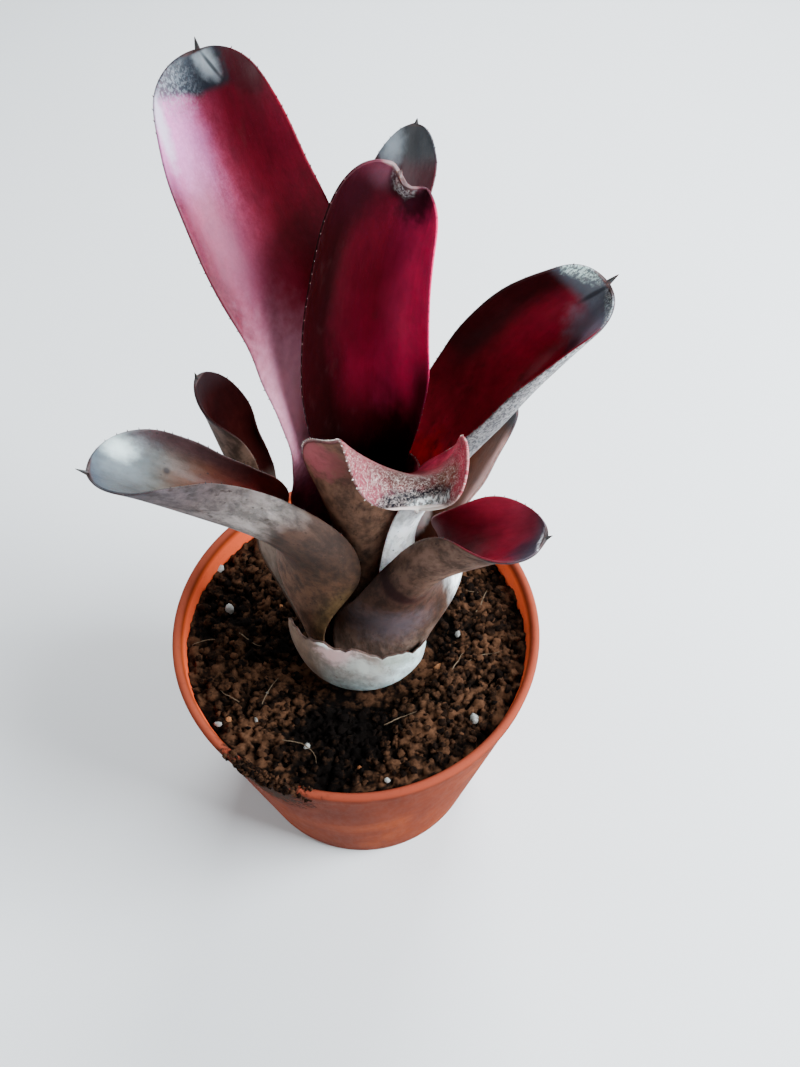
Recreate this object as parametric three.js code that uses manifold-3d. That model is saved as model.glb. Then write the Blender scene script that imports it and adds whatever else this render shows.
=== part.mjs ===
// Small tank bromeliad in a thin-walled round grower's pot.
// Millimetres, +Z up. The origin is the centre of the underside of the pot.
// The plant is a short stem with strap leaves; each leaf starts as a sheath wrapped round the stem,
// nested in the sheath outside it, and opens upwards into a channelled blade with toothed margins.

import * as THREE from "three";
import { mergeVertices } from "three/addons/utils/BufferGeometryUtils.js";
import Module from "manifold-3d";

// Pot
const POT_HEIGHT = 88;
const POT_RIM_RADIUS = 52.5;
const POT_BASE_RADIUS = 38;
const POT_WALL = 2.4;
const POT_FLOOR = 2.5;
const POT_EDGE = 1.2;
const POT_SIDES = 60;
const DRAIN_COUNT = 6;
const DRAIN_RADIUS = 4;
const DRAIN_CIRCLE = 24;

// Soil
const SOIL_GAP = 0.3;
const SOIL_LEVEL = 81.5;
const SOIL_FALL = 0.075;
const SOIL_SECTORS = 72;
const SOIL_RINGS = 14;
const CRUMB_HEIGHT = 1.1;
const CRUMB_SHIFT = 0.36;
const SEAT_ROUGHNESS = 0.35;
const SEAT_RADIUS = 20;
const SEAT_EDGE = 27;
const SEAT_LEVEL = 78.7;

// Stem and the way the leaves sit on it
const PLANT_X = 2;
const PLANT_Y = -2;
const STEM_RADIUS = 3.9;
const STEM_TAPER = 0.08;
const STEM_TOP = 92.6;
const STEM_FOOT = 62;
const STEM_SIDES = 18;
const STEM_GAP = 0.3;
const LEAF_TOP_BASE = 91;
const LEAF_BASE_STEP = 1.25;
const RING_RADIUS = 5.6;
const RING_STEP = 1.35;

// Leaf blades
const LEAF_COLUMNS = 8;
const LEAF_THICK = 0.9;
const LEAF_EDGE_THICK = 0.65;
const MIDRIB_STEP = 0.5;
const TOOTH_LENGTH = 0.7;
const TOOTH_WIDTH = 1.1;
const TOOTH_PITCH = 12;
const TOOTH_PITCH_TIP = 5;
const SPINE_LENGTH = 2.4;
const SPINE_HOOK = 0.35;
const TIP_ROWS = [3.8, 2.4, 1.3, 0.5, 0.08];
const TOOTHLESS = 0.42;

// Every leaf, from the heart of the rosette outwards. Angles are in degrees.
//   azimuth  direction in which the leaf leaves the stem
//   ring     place in the nest of sheaths, 0 is the innermost
//   length   along the midrib from the stem to the tip
//   width    of the blade, in its lower and in its upper half
//   lean     of the midrib from the vertical, at equal steps from the sheath to the tip
//   turn     sideways change of direction, at equal steps
//   roll     of the blade about its midrib, at equal steps
//   wrap     half angle that the sheath spans round the stem, at its foot and at its top
//   channel  half angle of the blade's curved cross-section, at equal steps
//   skew     curve moved to the anticlockwise half of the blade from the other half, at equal steps
//   sheath   length over which the leaf stays wrapped
//   tip      length of the rounded end
//   curl     further lean at the end, and the length over which it comes
//   trim     share cut off the anticlockwise half, and where that starts, is full, fades and is over
//   spine    length of the end spine, where it is shorter than usual
const LEAVES = [
  {
    name: "leaf_centre",
    azimuth: 72,
    ring: 0,
    length: 138,
    width: [21, 32.5],
    lean: [-8, -3, 4, 10, 15, 46],
    turn: [8, 7, -21],
    roll: [0, 25, 30],
    wrap: [83, 82],
    channel: [60, 35, 61, 96],
    skew: [-3, -9, 3],
    sheath: 62,
    tip: 18,
  },
  {
    name: "leaf_front_recurved",
    azimuth: 302,
    ring: 1,
    length: 117.5,
    width: [22.5, 31.5],
    lean: [-3, -6, 10, 11, 39, 38],
    turn: [-33, 8, -30],
    roll: [26, -29, -14],
    wrap: [106, 147],
    channel: [84, 78, 64, 76],
    skew: [-13, 49, 38],
    sheath: 69,
    tip: 9.5,
    curl: [97, 9.5],
    trim: [0.5, 0.6, 0.68, 0.74, 1.02],
    spine: 0.9,
  },
  {
    name: "leaf_back_left",
    azimuth: 115,
    ring: 2,
    length: 164,
    width: [27.5, 29.5],
    lean: [0, 2, -1, 15, 34, 54],
    turn: [-27, 38, -8],
    roll: [-23, -22, -30],
    wrap: [88, 92],
    channel: [56, 44, 39, 66],
    skew: [-10, -23, 28],
    sheath: 31,
    tip: 24,
  },
  {
    name: "leaf_right",
    azimuth: -3,
    ring: 3,
    length: 134,
    width: [23.5, 32],
    lean: [11, -1, 11, 30, 33, 57],
    turn: [-5, 19, 24],
    roll: [0, -3, 39],
    wrap: [84, 106],
    channel: [88, 78, 86, 103],
    skew: [-8, -31, -17],
    sheath: 29,
    tip: 26,
  },
  {
    name: "leaf_back",
    azimuth: 84,
    ring: 4,
    length: 137,
    width: [24, 25.5],
    lean: [17, 18, 24, 32, 40, 41],
    turn: [4, -7, -10],
    roll: [3, -38, -37],
    wrap: [79, 84],
    channel: [60, 43, 68, 3],
    skew: [0, -11, 17],
    sheath: 34,
    tip: 24,
  },
  {
    name: "leaf_right_back",
    azimuth: 33,
    ring: 5,
    length: 84.2,
    width: [17.5, 17.4],
    lean: [20.4, 19.8, 22.1, 26.5, 31.6, 38.8],
    turn: [2.1, -5.3, 1],
    roll: [6.8, -11.1, -19.4],
    wrap: [61.5, 59.4],
    channel: [57.5, 52.1, 36.8, 40.9],
    skew: [1.4, 1.8, -2.5],
    sheath: 35.5,
    tip: 18,
  },
  {
    name: "leaf_left_level",
    azimuth: 207,
    ring: 6,
    length: 114,
    width: [39, 34],
    lean: [8, -4, 13, 46, 53, 50],
    turn: [29, -20, -21],
    roll: [42, 32, 23],
    wrap: [48, 0],
    channel: [84, 73, 115, 46],
    skew: [-9, 7, -11],
    sheath: 40,
    tip: 17,
  },
  {
    name: "leaf_left_small",
    azimuth: 145,
    ring: 7,
    length: 92,
    width: [18, 23.5],
    lean: [28, 30, 30, 24, 18, 18],
    turn: [1, -5, -17],
    roll: [-11, 29, 41],
    wrap: [37, 17],
    channel: [68, 18, 125, 28],
    skew: [-2, 15, 4],
    sheath: 35,
    tip: 18,
  },
  {
    name: "leaf_right_front",
    azimuth: -33.2,
    ring: 8,
    length: 98.4,
    width: [27, 31.7],
    lean: [8.8, -1.3, 10.3, 28.8, 47.9, 51.1],
    turn: [-25, -2.4, 34.4],
    roll: [-46.3, -1.4, -33.1],
    wrap: [23.1, 96.5],
    channel: [34.2, 47.6, 136.6, 16],
    skew: [33.4, -35.6, 14.3],
    sheath: 39.4,
    tip: 17,
    spine: 1.6,
  },
];

// The outermost leaf has lost its blade: only its sheath is left, with a torn upper edge.
const OLD_SHEATH = {
  name: "sheath_old_front",
  azimuth: 265,
  ring: 9,
  length: 44,
  width: [40, 40],
  lean: [9, 0, -3],
  turn: [0, 0, 0],
  roll: [0, 0, 0],
  wrap: [62, 62],
  channel: [65, 65],
  skew: [0, 0, 0],
  sheath: 70,
  tip: 8,
  torn: 0.1,
  slant: 0.16,
};
const OLD_SHEATH_ROWS = 10;

const UP = new THREE.Vector3(0, 0, 1);
const { degToRad, smoothstep, lerp } = THREE.MathUtils;

// Seeded draws in 0..1, so that every build gives the same soil.
function makeRandom(seed) {
  let state = seed;
  return () => {
    state = (state * 1664525 + 1013904223) % 4294967296;
    return state / 4294967296;
  };
}

function clamp01(x) {
  return Math.min(Math.max(x, 0), 1);
}

// Smooth curve through equally spaced values, read at u in 0..1.
function along(values, u) {
  const last = values.length - 1;
  const x = clamp01(u) * last;
  const i = Math.min(Math.floor(x), last - 1);
  const t = x - i;
  const b = values[i];
  const c = values[i + 1];
  const a = i > 0 ? values[i - 1] : 2 * b - c;
  const d = i + 2 <= last ? values[i + 2] : 2 * c - b;
  const cubic = -a + 3 * b - 3 * c + d;
  const square = 2 * a - 5 * b + 4 * c - d;
  return 0.5 * (2 * b + (c - a) * t + square * t * t + cubic * t * t * t);
}

function stemRadiusAt(z) {
  return STEM_RADIUS + STEM_TAPER * Math.max(LEAF_TOP_BASE - z, 0);
}

// Distances that a leaf's place in the nest settles.
function nestOf(leaf) {
  const foot = LEAF_TOP_BASE - LEAF_BASE_STEP * leaf.ring;
  const inner = stemRadiusAt(foot) + STEM_GAP;
  const outer = RING_RADIUS + RING_STEP * leaf.ring;
  return { foot, inner, bend: (outer - inner) * 1.6 + 2 };
}

// How far the part past the bend has come, 0 at the bend and 1 at the tip.
function bodyFraction(leaf, s) {
  const { bend } = nestOf(leaf);
  return clamp01((s - bend) / (leaf.length - bend));
}

// The leaf leaves the stem almost level, bends up beside its neighbours and then follows its leans.
function leanAt(leaf, s) {
  const { bend } = nestOf(leaf);
  const [curlAngle, curlLength] = leaf.curl ?? [0, 1];
  const curl = curlAngle * smoothstep(s, leaf.length - curlLength, leaf.length);
  const body = along(leaf.lean, bodyFraction(leaf, s)) + curl;
  return degToRad(lerp(88, body, smoothstep(s, 0, bend)));
}

function headingAt(leaf, s) {
  const u = bodyFraction(leaf, s);
  return degToRad(leaf.azimuth + along(leaf.turn, u) * smoothstep(u, 0, 0.35));
}

function outwardAt(heading) {
  return new THREE.Vector3(Math.cos(heading), Math.sin(heading), 0);
}

function midribDirection(leaf, s) {
  const lean = leanAt(leaf, s);
  return outwardAt(headingAt(leaf, s)).multiplyScalar(Math.sin(lean)).addScaledVector(UP, Math.cos(lean));
}

// Points of the midrib at equal steps from the stem to the tip.
function traceMidrib(leaf) {
  const { foot, inner } = nestOf(leaf);
  const steps = Math.round(leaf.length / MIDRIB_STEP);
  const step = leaf.length / steps;
  const start = outwardAt(degToRad(leaf.azimuth)).multiplyScalar(inner);
  const point = start.add(new THREE.Vector3(PLANT_X, PLANT_Y, foot));
  const points = [point.clone()];
  for (let i = 0; i < steps; i++) {
    point.addScaledVector(midribDirection(leaf, (i + 0.5) * step), step);
    points.push(point.clone());
  }
  return { points, step };
}

function midribPoint(midrib, s) {
  const last = midrib.points.length - 1;
  const x = Math.min(Math.max(s / midrib.step, 0), last);
  const i = Math.min(Math.floor(x), last - 1);
  return midrib.points[i].clone().lerp(midrib.points[i + 1], x - i);
}

// Axes of the cross-section. In the sheath it is level, higher up it stands square to the midrib.
function sectionAxes(leaf, s) {
  const heading = headingAt(leaf, s);
  const tilt = leanAt(leaf, s) * smoothstep(s, leaf.sheath * 0.55, leaf.sheath * 1.5);
  const u = bodyFraction(leaf, s);
  const roll = degToRad(along(leaf.roll, u)) * smoothstep(u, 0, 0.3);
  const side = outwardAt(heading + Math.PI / 2);
  const inward = outwardAt(heading).multiplyScalar(-Math.cos(tilt)).addScaledVector(UP, Math.sin(tilt));
  return {
    across: side.clone().multiplyScalar(Math.cos(roll)).addScaledVector(inward, Math.sin(roll)),
    inward: inward.multiplyScalar(Math.cos(roll)).addScaledVector(side, -Math.sin(roll)),
  };
}

// The blade keeps its width up to the tip, which is rounded.
function tipProfile(leaf, s) {
  const x = clamp01((s - (leaf.length - leaf.tip)) / leaf.tip);
  return Math.sqrt(1 - Math.pow(x, 2.3));
}

// Half width and half angle of the cross-section: an arc round the stem that opens into the blade.
function sectionShape(leaf, s, radius) {
  const opened = smoothstep(s, leaf.sheath * 0.35, leaf.sheath * 1.6);
  const u = bodyFraction(leaf, s);
  const profile = tipProfile(leaf, s);
  const wrap = degToRad(lerp(leaf.wrap[0], leaf.wrap[1], smoothstep(s, 0, leaf.sheath)));
  const width = lerp(leaf.width[0], leaf.width[1], smoothstep(s / leaf.length, 0.35, 0.75));
  const channel = degToRad(along(leaf.channel, u)) * (0.35 + 0.65 * profile);
  return {
    halfWidth: lerp(radius * wrap, 0.5 * width * profile, opened),
    halfAngle: lerp(wrap, channel, opened),
    skew: degToRad(along(leaf.skew, u)) * opened,
  };
}

// Share of the cross-section that is left on one side of the midrib.
function trimmed(leaf, s, v) {
  if (!leaf.trim || v <= 0) return 1;
  const [amount, start, full, fading, over] = leaf.trim;
  const place = s / leaf.length;
  return 1 - amount * smoothstep(place, start, full) * (1 - smoothstep(place, fading, over));
}

// Upper edge of a torn sheath, as a share of its length: ragged, and lower on its anticlockwise half.
function tornEdge(leaf, v) {
  const waves = 0.6 * Math.sin(3 * v + 1.9) + 0.4 * Math.sin(13 * v + 0.5);
  return 1 + (leaf.torn ?? 0) * waves - (leaf.slant ?? 0) * clamp01(v);
}

// Point of the leaf's middle surface at s along the midrib and v in -1..1 from margin to margin.
function leafPoint(leaf, midrib, row, v) {
  const s = Math.min(row * tornEdge(leaf, v), leaf.length);
  const centre = midribPoint(midrib, s);
  const radius = Math.hypot(centre.x - PLANT_X, centre.y - PLANT_Y);
  const { halfWidth, halfAngle, skew } = sectionShape(leaf, s, radius);
  const angle = Math.max(halfAngle + Math.sign(v) * skew, 0.01);
  const { across, inward } = sectionAxes(leaf, s);
  const sweep = angle * Math.abs(v) * trimmed(leaf, s, v);
  centre.addScaledVector(across, (Math.sign(v) * halfWidth * Math.sin(sweep)) / angle);
  centre.addScaledVector(inward, (halfWidth * (1 - Math.cos(sweep))) / angle);
  return centre;
}

// Rows of the leaf from the stem to the tip. A row that starts a tooth is followed closely by the next.
function leafRows(leaf) {
  const { bend } = nestOf(leaf);
  const rows = [];
  for (let i = 0; i < 5; i++) {
    rows.push({ s: (bend * i) / 5, tooth: false });
  }
  const bladeStart = Math.max(leaf.length * TOOTHLESS, bend + 6);
  for (let i = 0; i < 4; i++) {
    rows.push({ s: lerp(bend, bladeStart, i / 4), tooth: false });
  }
  const tipStart = leaf.length - leaf.tip;
  let s = bladeStart;
  while (s < leaf.length - TOOTH_PITCH_TIP) {
    const pitch = lerp(TOOTH_PITCH, TOOTH_PITCH_TIP, smoothstep(s, bladeStart, tipStart));
    rows.push({ s, tooth: true });
    rows.push({ s: s + TOOTH_WIDTH, tooth: false });
    if (s > tipStart - pitch) {
      rows.push({ s: s + (TOOTH_WIDTH + pitch) / 2, tooth: false });
    }
    s += pitch;
  }
  for (const left of TIP_ROWS) {
    rows.push({ s: leaf.length - left, tooth: false });
  }
  return rows;
}

function sheathRows(leaf) {
  return Array.from({ length: OLD_SHEATH_ROWS + 1 }, (_, i) => ({
    s: (leaf.length * i) / OLD_SHEATH_ROWS / (1 + leaf.torn),
    tooth: false,
  }));
}

function columnAt(j) {
  return (2 * j) / LEAF_COLUMNS - 1;
}

// Middle surface as a grid of points.
function leafGrid(leaf, rows) {
  const midrib = traceMidrib(leaf);
  return rows.map(({ s }) =>
    Array.from({ length: LEAF_COLUMNS + 1 }, (_, j) => leafPoint(leaf, midrib, s, columnAt(j))),
  );
}

// Unit normal of the grid at a point, from the outer face towards the inner one.
function gridNormal(grid, i, j) {
  const lastRow = grid.length - 1;
  const up = grid[Math.min(i + 1, lastRow)][j].clone().sub(grid[Math.max(i - 1, 0)][j]);
  const sideways = grid[i][Math.min(j + 1, LEAF_COLUMNS)].clone().sub(grid[i][Math.max(j - 1, 0)]);
  return up.cross(sideways).normalize();
}

// Collects points and triangles of one solid.
class Solid {
  constructor() {
    this.points = [];
    this.faces = [];
  }

  point(p) {
    this.points.push(p.x, p.y, p.z);
    return this.points.length / 3 - 1;
  }

  triangle(a, b, c) {
    this.faces.push(a, b, c);
  }

  quad(a, b, c, d) {
    this.triangle(a, b, c);
    this.triangle(a, c, d);
  }

  geometry() {
    const geometry = new THREE.BufferGeometry();
    geometry.setAttribute("position", new THREE.Float32BufferAttribute(this.points, 3));
    geometry.setIndex(this.faces);
    return geometry;
  }
}

// Adds the two faces of the leaf and gives their point numbers by row and column.
function addFaces(solid, grid) {
  const inner = [];
  const outer = [];
  grid.forEach((row, i) => {
    inner.push([]);
    outer.push([]);
    row.forEach((point, j) => {
      const v = columnAt(j);
      const half = lerp(LEAF_THICK, LEAF_EDGE_THICK, v * v) / 2;
      const normal = gridNormal(grid, i, j);
      inner[i].push(solid.point(point.clone().addScaledVector(normal, half)));
      outer[i].push(solid.point(point.clone().addScaledVector(normal, -half)));
    });
  });
  for (let i = 0; i + 1 < grid.length; i++) {
    for (let j = 0; j < LEAF_COLUMNS; j++) {
      solid.quad(outer[i][j], outer[i][j + 1], outer[i + 1][j + 1], outer[i + 1][j]);
      solid.quad(inner[i + 1][j], inner[i + 1][j + 1], inner[i][j + 1], inner[i][j]);
    }
  }
  return { inner, outer };
}

// Point of a margin tooth: out from the margin and a little towards the tip of the leaf.
function toothPoint(grid, i, j) {
  const next = j === 0 ? 1 : j - 1;
  const middle = grid[i][j].clone().lerp(grid[i + 1][j], 0.5);
  const out = grid[i][j].clone().sub(grid[i][next]).normalize();
  const tipward = grid[i + 1][j].clone().sub(grid[i][j]).normalize();
  return middle.addScaledVector(out, TOOTH_LENGTH).addScaledVector(tipward, TOOTH_LENGTH * 0.6);
}

// Closes one margin, plain or with a tooth on each marked row.
function addMargin(solid, grid, rows, faces, j) {
  const { inner, outer } = faces;
  for (let i = 0; i + 1 < grid.length; i++) {
    const low = [outer[i][j], inner[i][j]];
    const high = [outer[i + 1][j], inner[i + 1][j]];
    const ring = [low[0], low[1], high[1], high[0]];
    if (j === 0) {
      ring.reverse();
    }
    if (rows[i].tooth) {
      const apex = solid.point(toothPoint(grid, i, j));
      ring.forEach((from, k) => solid.triangle(from, ring[(k + 1) % 4], apex));
    } else {
      solid.quad(...ring);
    }
  }
}

// Closes the foot of the leaf, which faces the stem.
function addFoot(solid, faces) {
  const inner = faces.inner[0];
  const outer = faces.outer[0];
  for (let j = 0; j < LEAF_COLUMNS; j++) {
    solid.quad(inner[j], inner[j + 1], outer[j + 1], outer[j]);
  }
}

function addTornEnd(solid, faces) {
  const inner = faces.inner.at(-1);
  const outer = faces.outer.at(-1);
  for (let j = 0; j < LEAF_COLUMNS; j++) {
    solid.quad(outer[j], outer[j + 1], inner[j + 1], inner[j]);
  }
}

// Draws the rounded tip out into its sharp end spine, which hooks a little towards the inner face.
function addSpine(solid, grid, faces, length) {
  const middle = LEAF_COLUMNS / 2;
  const last = grid.at(-1)[middle];
  const direction = last.clone().sub(grid.at(-5)[middle]).normalize();
  direction.addScaledVector(gridNormal(grid, grid.length - 3, middle), SPINE_HOOK).normalize();
  const apex = solid.point(last.clone().addScaledVector(direction, length));
  const inner = faces.inner.at(-1);
  const outer = faces.outer.at(-1);
  for (let j = 0; j < LEAF_COLUMNS; j++) {
    solid.triangle(outer[j], outer[j + 1], apex);
    solid.triangle(inner[j + 1], inner[j], apex);
  }
  solid.triangle(inner[0], outer[0], apex);
  solid.triangle(outer[LEAF_COLUMNS], inner[LEAF_COLUMNS], apex);
}

function leafGeometry(leaf) {
  const rows = leaf.torn ? sheathRows(leaf) : leafRows(leaf);
  const grid = leafGrid(leaf, rows);
  const solid = new Solid();
  const faces = addFaces(solid, grid);
  addMargin(solid, grid, rows, faces, 0);
  addMargin(solid, grid, rows, faces, LEAF_COLUMNS);
  addFoot(solid, faces);
  if (leaf.torn) {
    addTornEnd(solid, faces);
  } else {
    addSpine(solid, grid, faces, leaf.spine ?? SPINE_LENGTH);
  }
  return solid.geometry();
}

function potOuterRadius(z) {
  return lerp(POT_BASE_RADIUS, POT_RIM_RADIUS, z / POT_HEIGHT);
}

function potInnerRadius(z) {
  return potOuterRadius(z) - POT_WALL;
}

// Turns a profile of [radius, height] pairs, listed upwards on the outside, into a closed solid.
function turned(profile, sides) {
  const points = profile.map(([r, z]) => new THREE.Vector2(r, z));
  const geometry = new THREE.LatheGeometry(points, sides).rotateX(Math.PI / 2);
  geometry.deleteAttribute("normal");
  geometry.deleteAttribute("uv");
  return mergeVertices(geometry, 1e-4);
}

// Thin wall with a rounded rim, a softened foot and a flat floor.
function potBodyGeometry() {
  const rim = POT_HEIGHT - POT_EDGE;
  const profile = [
    [0, 0],
    [POT_BASE_RADIUS - POT_EDGE, 0],
    [potOuterRadius(POT_EDGE), POT_EDGE],
    [potOuterRadius(rim), rim],
    [POT_RIM_RADIUS - POT_EDGE * 0.3, POT_HEIGHT - POT_EDGE * 0.3],
    [POT_RIM_RADIUS - POT_WALL / 2, POT_HEIGHT],
    [POT_RIM_RADIUS - POT_WALL + POT_EDGE * 0.3, POT_HEIGHT - POT_EDGE * 0.3],
    [potInnerRadius(rim), rim],
    [potInnerRadius(POT_FLOOR), POT_FLOOR],
    [0, POT_FLOOR],
  ];
  return turned(profile, POT_SIDES);
}

function drainHoleGeometry(index) {
  const angle = (2 * Math.PI * (index + 0.5)) / DRAIN_COUNT;
  const depth = POT_FLOOR * 3;
  const profile = [
    [0, -depth],
    [DRAIN_RADIUS, -depth],
    [DRAIN_RADIUS, depth],
    [0, depth],
  ];
  const hole = turned(profile, 20);
  return hole.translate(DRAIN_CIRCLE * Math.cos(angle), DRAIN_CIRCLE * Math.sin(angle), 0);
}

// Height of the soil before its crumbs: it falls to the back and is pressed level under the plant.
function soilHeight(x, y) {
  const fromPlant = Math.hypot(x - PLANT_X, y - PLANT_Y);
  const slope = SOIL_LEVEL - SOIL_FALL * y;
  return lerp(SEAT_LEVEL, slope, smoothstep(fromPlant, SEAT_RADIUS, SEAT_EDGE));
}

// Top of the soil: circles that start round the stem's hole and end against the pot, shaken into crumbs.
function soilTop(random) {
  const hole = stemRadiusAt(SEAT_LEVEL) + SOIL_GAP;
  const rings = [];
  for (let i = 0; i <= SOIL_RINGS; i++) {
    const ring = [];
    const inside = i > 0 && i < SOIL_RINGS;
    for (let k = 0; k < SOIL_SECTORS; k++) {
      const shift = inside ? CRUMB_SHIFT * (random() - 0.5) * 2 : 0;
      const twist = inside ? CRUMB_SHIFT * (random() - 0.5) * 2 : 0;
      const t = (i + shift) / SOIL_RINGS;
      const angle = (2 * Math.PI * (k + twist + (i % 2) / 2)) / SOIL_SECTORS;
      ring.push(soilTopPoint(hole, t, angle, random()));
    }
    rings.push(ring);
  }
  return rings;
}

function soilTopPoint(hole, t, angle, draw) {
  const outward = new THREE.Vector2(Math.cos(angle), Math.sin(angle));
  const centre = new THREE.Vector2(PLANT_X, PLANT_Y).multiplyScalar(1 - t);
  const guess = lerp(hole, potInnerRadius(SOIL_LEVEL), t);
  const near = centre.clone().addScaledVector(outward, guess);
  const fromPlant = Math.hypot(near.x - PLANT_X, near.y - PLANT_Y);
  const loose = lerp(SEAT_ROUGHNESS, 1, smoothstep(fromPlant, SEAT_RADIUS - 2, SEAT_EDGE));
  const rough = CRUMB_HEIGHT * loose * (draw - 0.5) * 2;
  const z = soilHeight(near.x, near.y) + rough;
  const radius = lerp(hole, potInnerRadius(z) - SOIL_GAP, t);
  const point = centre.addScaledVector(outward, radius);
  return new THREE.Vector3(point.x, point.y, z);
}

// Adds a circle of points and gives their numbers.
function addCircle(solid, centreX, centreY, radius, z, offset) {
  return Array.from({ length: SOIL_SECTORS }, (_, k) => {
    const angle = (2 * Math.PI * (k + offset)) / SOIL_SECTORS;
    const x = centreX + radius * Math.cos(angle);
    const y = centreY + radius * Math.sin(angle);
    return solid.point(new THREE.Vector3(x, y, z));
  });
}

// Joins two circles with a band of triangles.
function addBand(solid, low, high) {
  for (let k = 0; k < low.length; k++) {
    const next = (k + 1) % low.length;
    solid.quad(low[k], low[next], high[next], high[k]);
  }
}

function addDisc(solid, circle, centre) {
  const middle = solid.point(centre);
  for (let k = 0; k < circle.length; k++) {
    solid.triangle(circle[k], circle[(k + 1) % circle.length], middle);
  }
}

// The whole filling of the pot, with a plain round hole for the stem.
function soilGeometry() {
  const solid = new Solid();
  const rings = soilTop(makeRandom(41)).map((ring) => ring.map((p) => solid.point(p)));
  for (let i = 0; i < SOIL_RINGS; i++) {
    addBand(solid, rings[i + 1], rings[i]);
  }
  const floor = POT_FLOOR + SOIL_GAP;
  const edgeOffset = (SOIL_RINGS % 2) / 2;
  const foot = addCircle(solid, 0, 0, potInnerRadius(floor) - SOIL_GAP, floor, edgeOffset);
  addBand(solid, foot, rings[SOIL_RINGS]);
  addDisc(solid, foot.slice().reverse(), new THREE.Vector3(0, 0, floor));
  const holeFloor = STEM_FOOT - SOIL_GAP;
  const holeRadius = stemRadiusAt(SEAT_LEVEL) + SOIL_GAP;
  const hole = addCircle(solid, PLANT_X, PLANT_Y, holeRadius, holeFloor, 0);
  addBand(solid, rings[0], hole);
  addDisc(solid, hole, new THREE.Vector3(PLANT_X, PLANT_Y, holeFloor));
  return solid.geometry();
}

// Short stem: a plug in the soil that narrows upwards and ends in a rounded growing point.
function stemGeometry() {
  const profile = [
    [0, STEM_FOOT],
    [stemRadiusAt(SEAT_LEVEL) * 0.7, STEM_FOOT],
    [stemRadiusAt(SEAT_LEVEL), STEM_FOOT + 3],
    [stemRadiusAt(SEAT_LEVEL), SEAT_LEVEL],
    [stemRadiusAt(LEAF_TOP_BASE), LEAF_TOP_BASE],
    [STEM_RADIUS * 0.75, STEM_TOP - 0.4],
    [0, STEM_TOP],
  ];
  return turned(profile, STEM_SIDES).translate(PLANT_X, PLANT_Y, 0);
}

const wasm = await Module();
wasm.setup();

function toManifold(geometry) {
  const mesh = new wasm.Mesh({
    numProp: 3,
    vertProperties: new Float32Array(geometry.getAttribute("position").array),
    triVerts: new Uint32Array(geometry.getIndex().array),
  });
  mesh.merge();
  return new wasm.Manifold(mesh);
}

function fromManifold(manifold) {
  const mesh = manifold.getMesh();
  const geometry = new THREE.BufferGeometry();
  geometry.setAttribute("position", new THREE.BufferAttribute(mesh.vertProperties, 3));
  geometry.setIndex(new THREE.BufferAttribute(mesh.triVerts, 1));
  return geometry;
}

function potGeometry() {
  let pot = toManifold(potBodyGeometry());
  for (let index = 0; index < DRAIN_COUNT; index++) {
    pot = pot.subtract(toManifold(drainHoleGeometry(index)));
  }
  return fromManifold(pot);
}

function piece(name, geometry, color, roughness) {
  const material = new THREE.MeshStandardMaterial({ color, roughness, metalness: 0 });
  material.name = `${name}_surface`;
  geometry.computeVertexNormals();
  const mesh = new THREE.Mesh(geometry, material);
  mesh.name = name;
  return mesh;
}

const LEAF_COLOURS = {
  leaf_centre: 0x7c1226,
  leaf_front_recurved: 0x8b6a66,
  leaf_back_left: 0x8c2a3e,
  leaf_right: 0x741224,
  leaf_back: 0x5c5560,
  leaf_right_front: 0x6b1a26,
  leaf_left_level: 0x8a7c7c,
  leaf_left_small: 0x4a1c20,
  leaf_right_back: 0x8a5a44,
};

const bromeliad = new THREE.Group();
bromeliad.name = "bromeliad_in_pot";
bromeliad.add(piece("pot", potGeometry(), 0xb4573a, 0.6));
bromeliad.add(piece("soil", soilGeometry(), 0x2e1f17, 0.95));
bromeliad.add(piece("stem", stemGeometry(), 0x8d8a62, 0.7));
bromeliad.add(piece(OLD_SHEATH.name, leafGeometry(OLD_SHEATH), 0xb5a09a, 0.6));
for (const leaf of LEAVES) {
  bromeliad.add(piece(leaf.name, leafGeometry(leaf), LEAF_COLOURS[leaf.name], 0.5));
}

export default bromeliad;
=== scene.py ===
"""Visual model of a small tank bromeliad in a thin terracotta-coloured pot.

Sizes in the dataclasses are millimetres and angles are degrees. Meshes are written in metres, in the frame of
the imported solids: +Z up, with the origin at the centre of the pot's underside. Every surface is a function of
two parameters, worked out with numpy as whole arrays.
"""

from __future__ import annotations

import logging
import math
from dataclasses import dataclass, field, replace
from enum import Enum

import bpy
import numpy as np
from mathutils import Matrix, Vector

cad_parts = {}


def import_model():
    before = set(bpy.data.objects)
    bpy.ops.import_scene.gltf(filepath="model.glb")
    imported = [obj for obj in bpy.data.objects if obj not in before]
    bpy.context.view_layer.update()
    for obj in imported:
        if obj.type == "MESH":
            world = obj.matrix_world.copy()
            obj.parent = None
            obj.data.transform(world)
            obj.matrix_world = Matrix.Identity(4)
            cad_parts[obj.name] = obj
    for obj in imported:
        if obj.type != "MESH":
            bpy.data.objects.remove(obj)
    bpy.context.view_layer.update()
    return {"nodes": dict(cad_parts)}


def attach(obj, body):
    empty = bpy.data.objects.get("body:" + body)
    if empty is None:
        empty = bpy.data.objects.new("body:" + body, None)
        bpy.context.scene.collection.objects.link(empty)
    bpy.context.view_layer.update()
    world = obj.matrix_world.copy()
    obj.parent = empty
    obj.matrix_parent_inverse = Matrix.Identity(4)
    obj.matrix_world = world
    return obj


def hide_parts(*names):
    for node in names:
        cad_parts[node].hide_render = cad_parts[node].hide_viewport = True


LOG = logging.getLogger("bromeliad")
METRE = 0.001
PLANT_AXIS = np.array([2.0, -2.0])

Array = np.ndarray
Colour = tuple[float, float, float]
Stops = tuple[tuple[float, Colour], ...]


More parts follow.
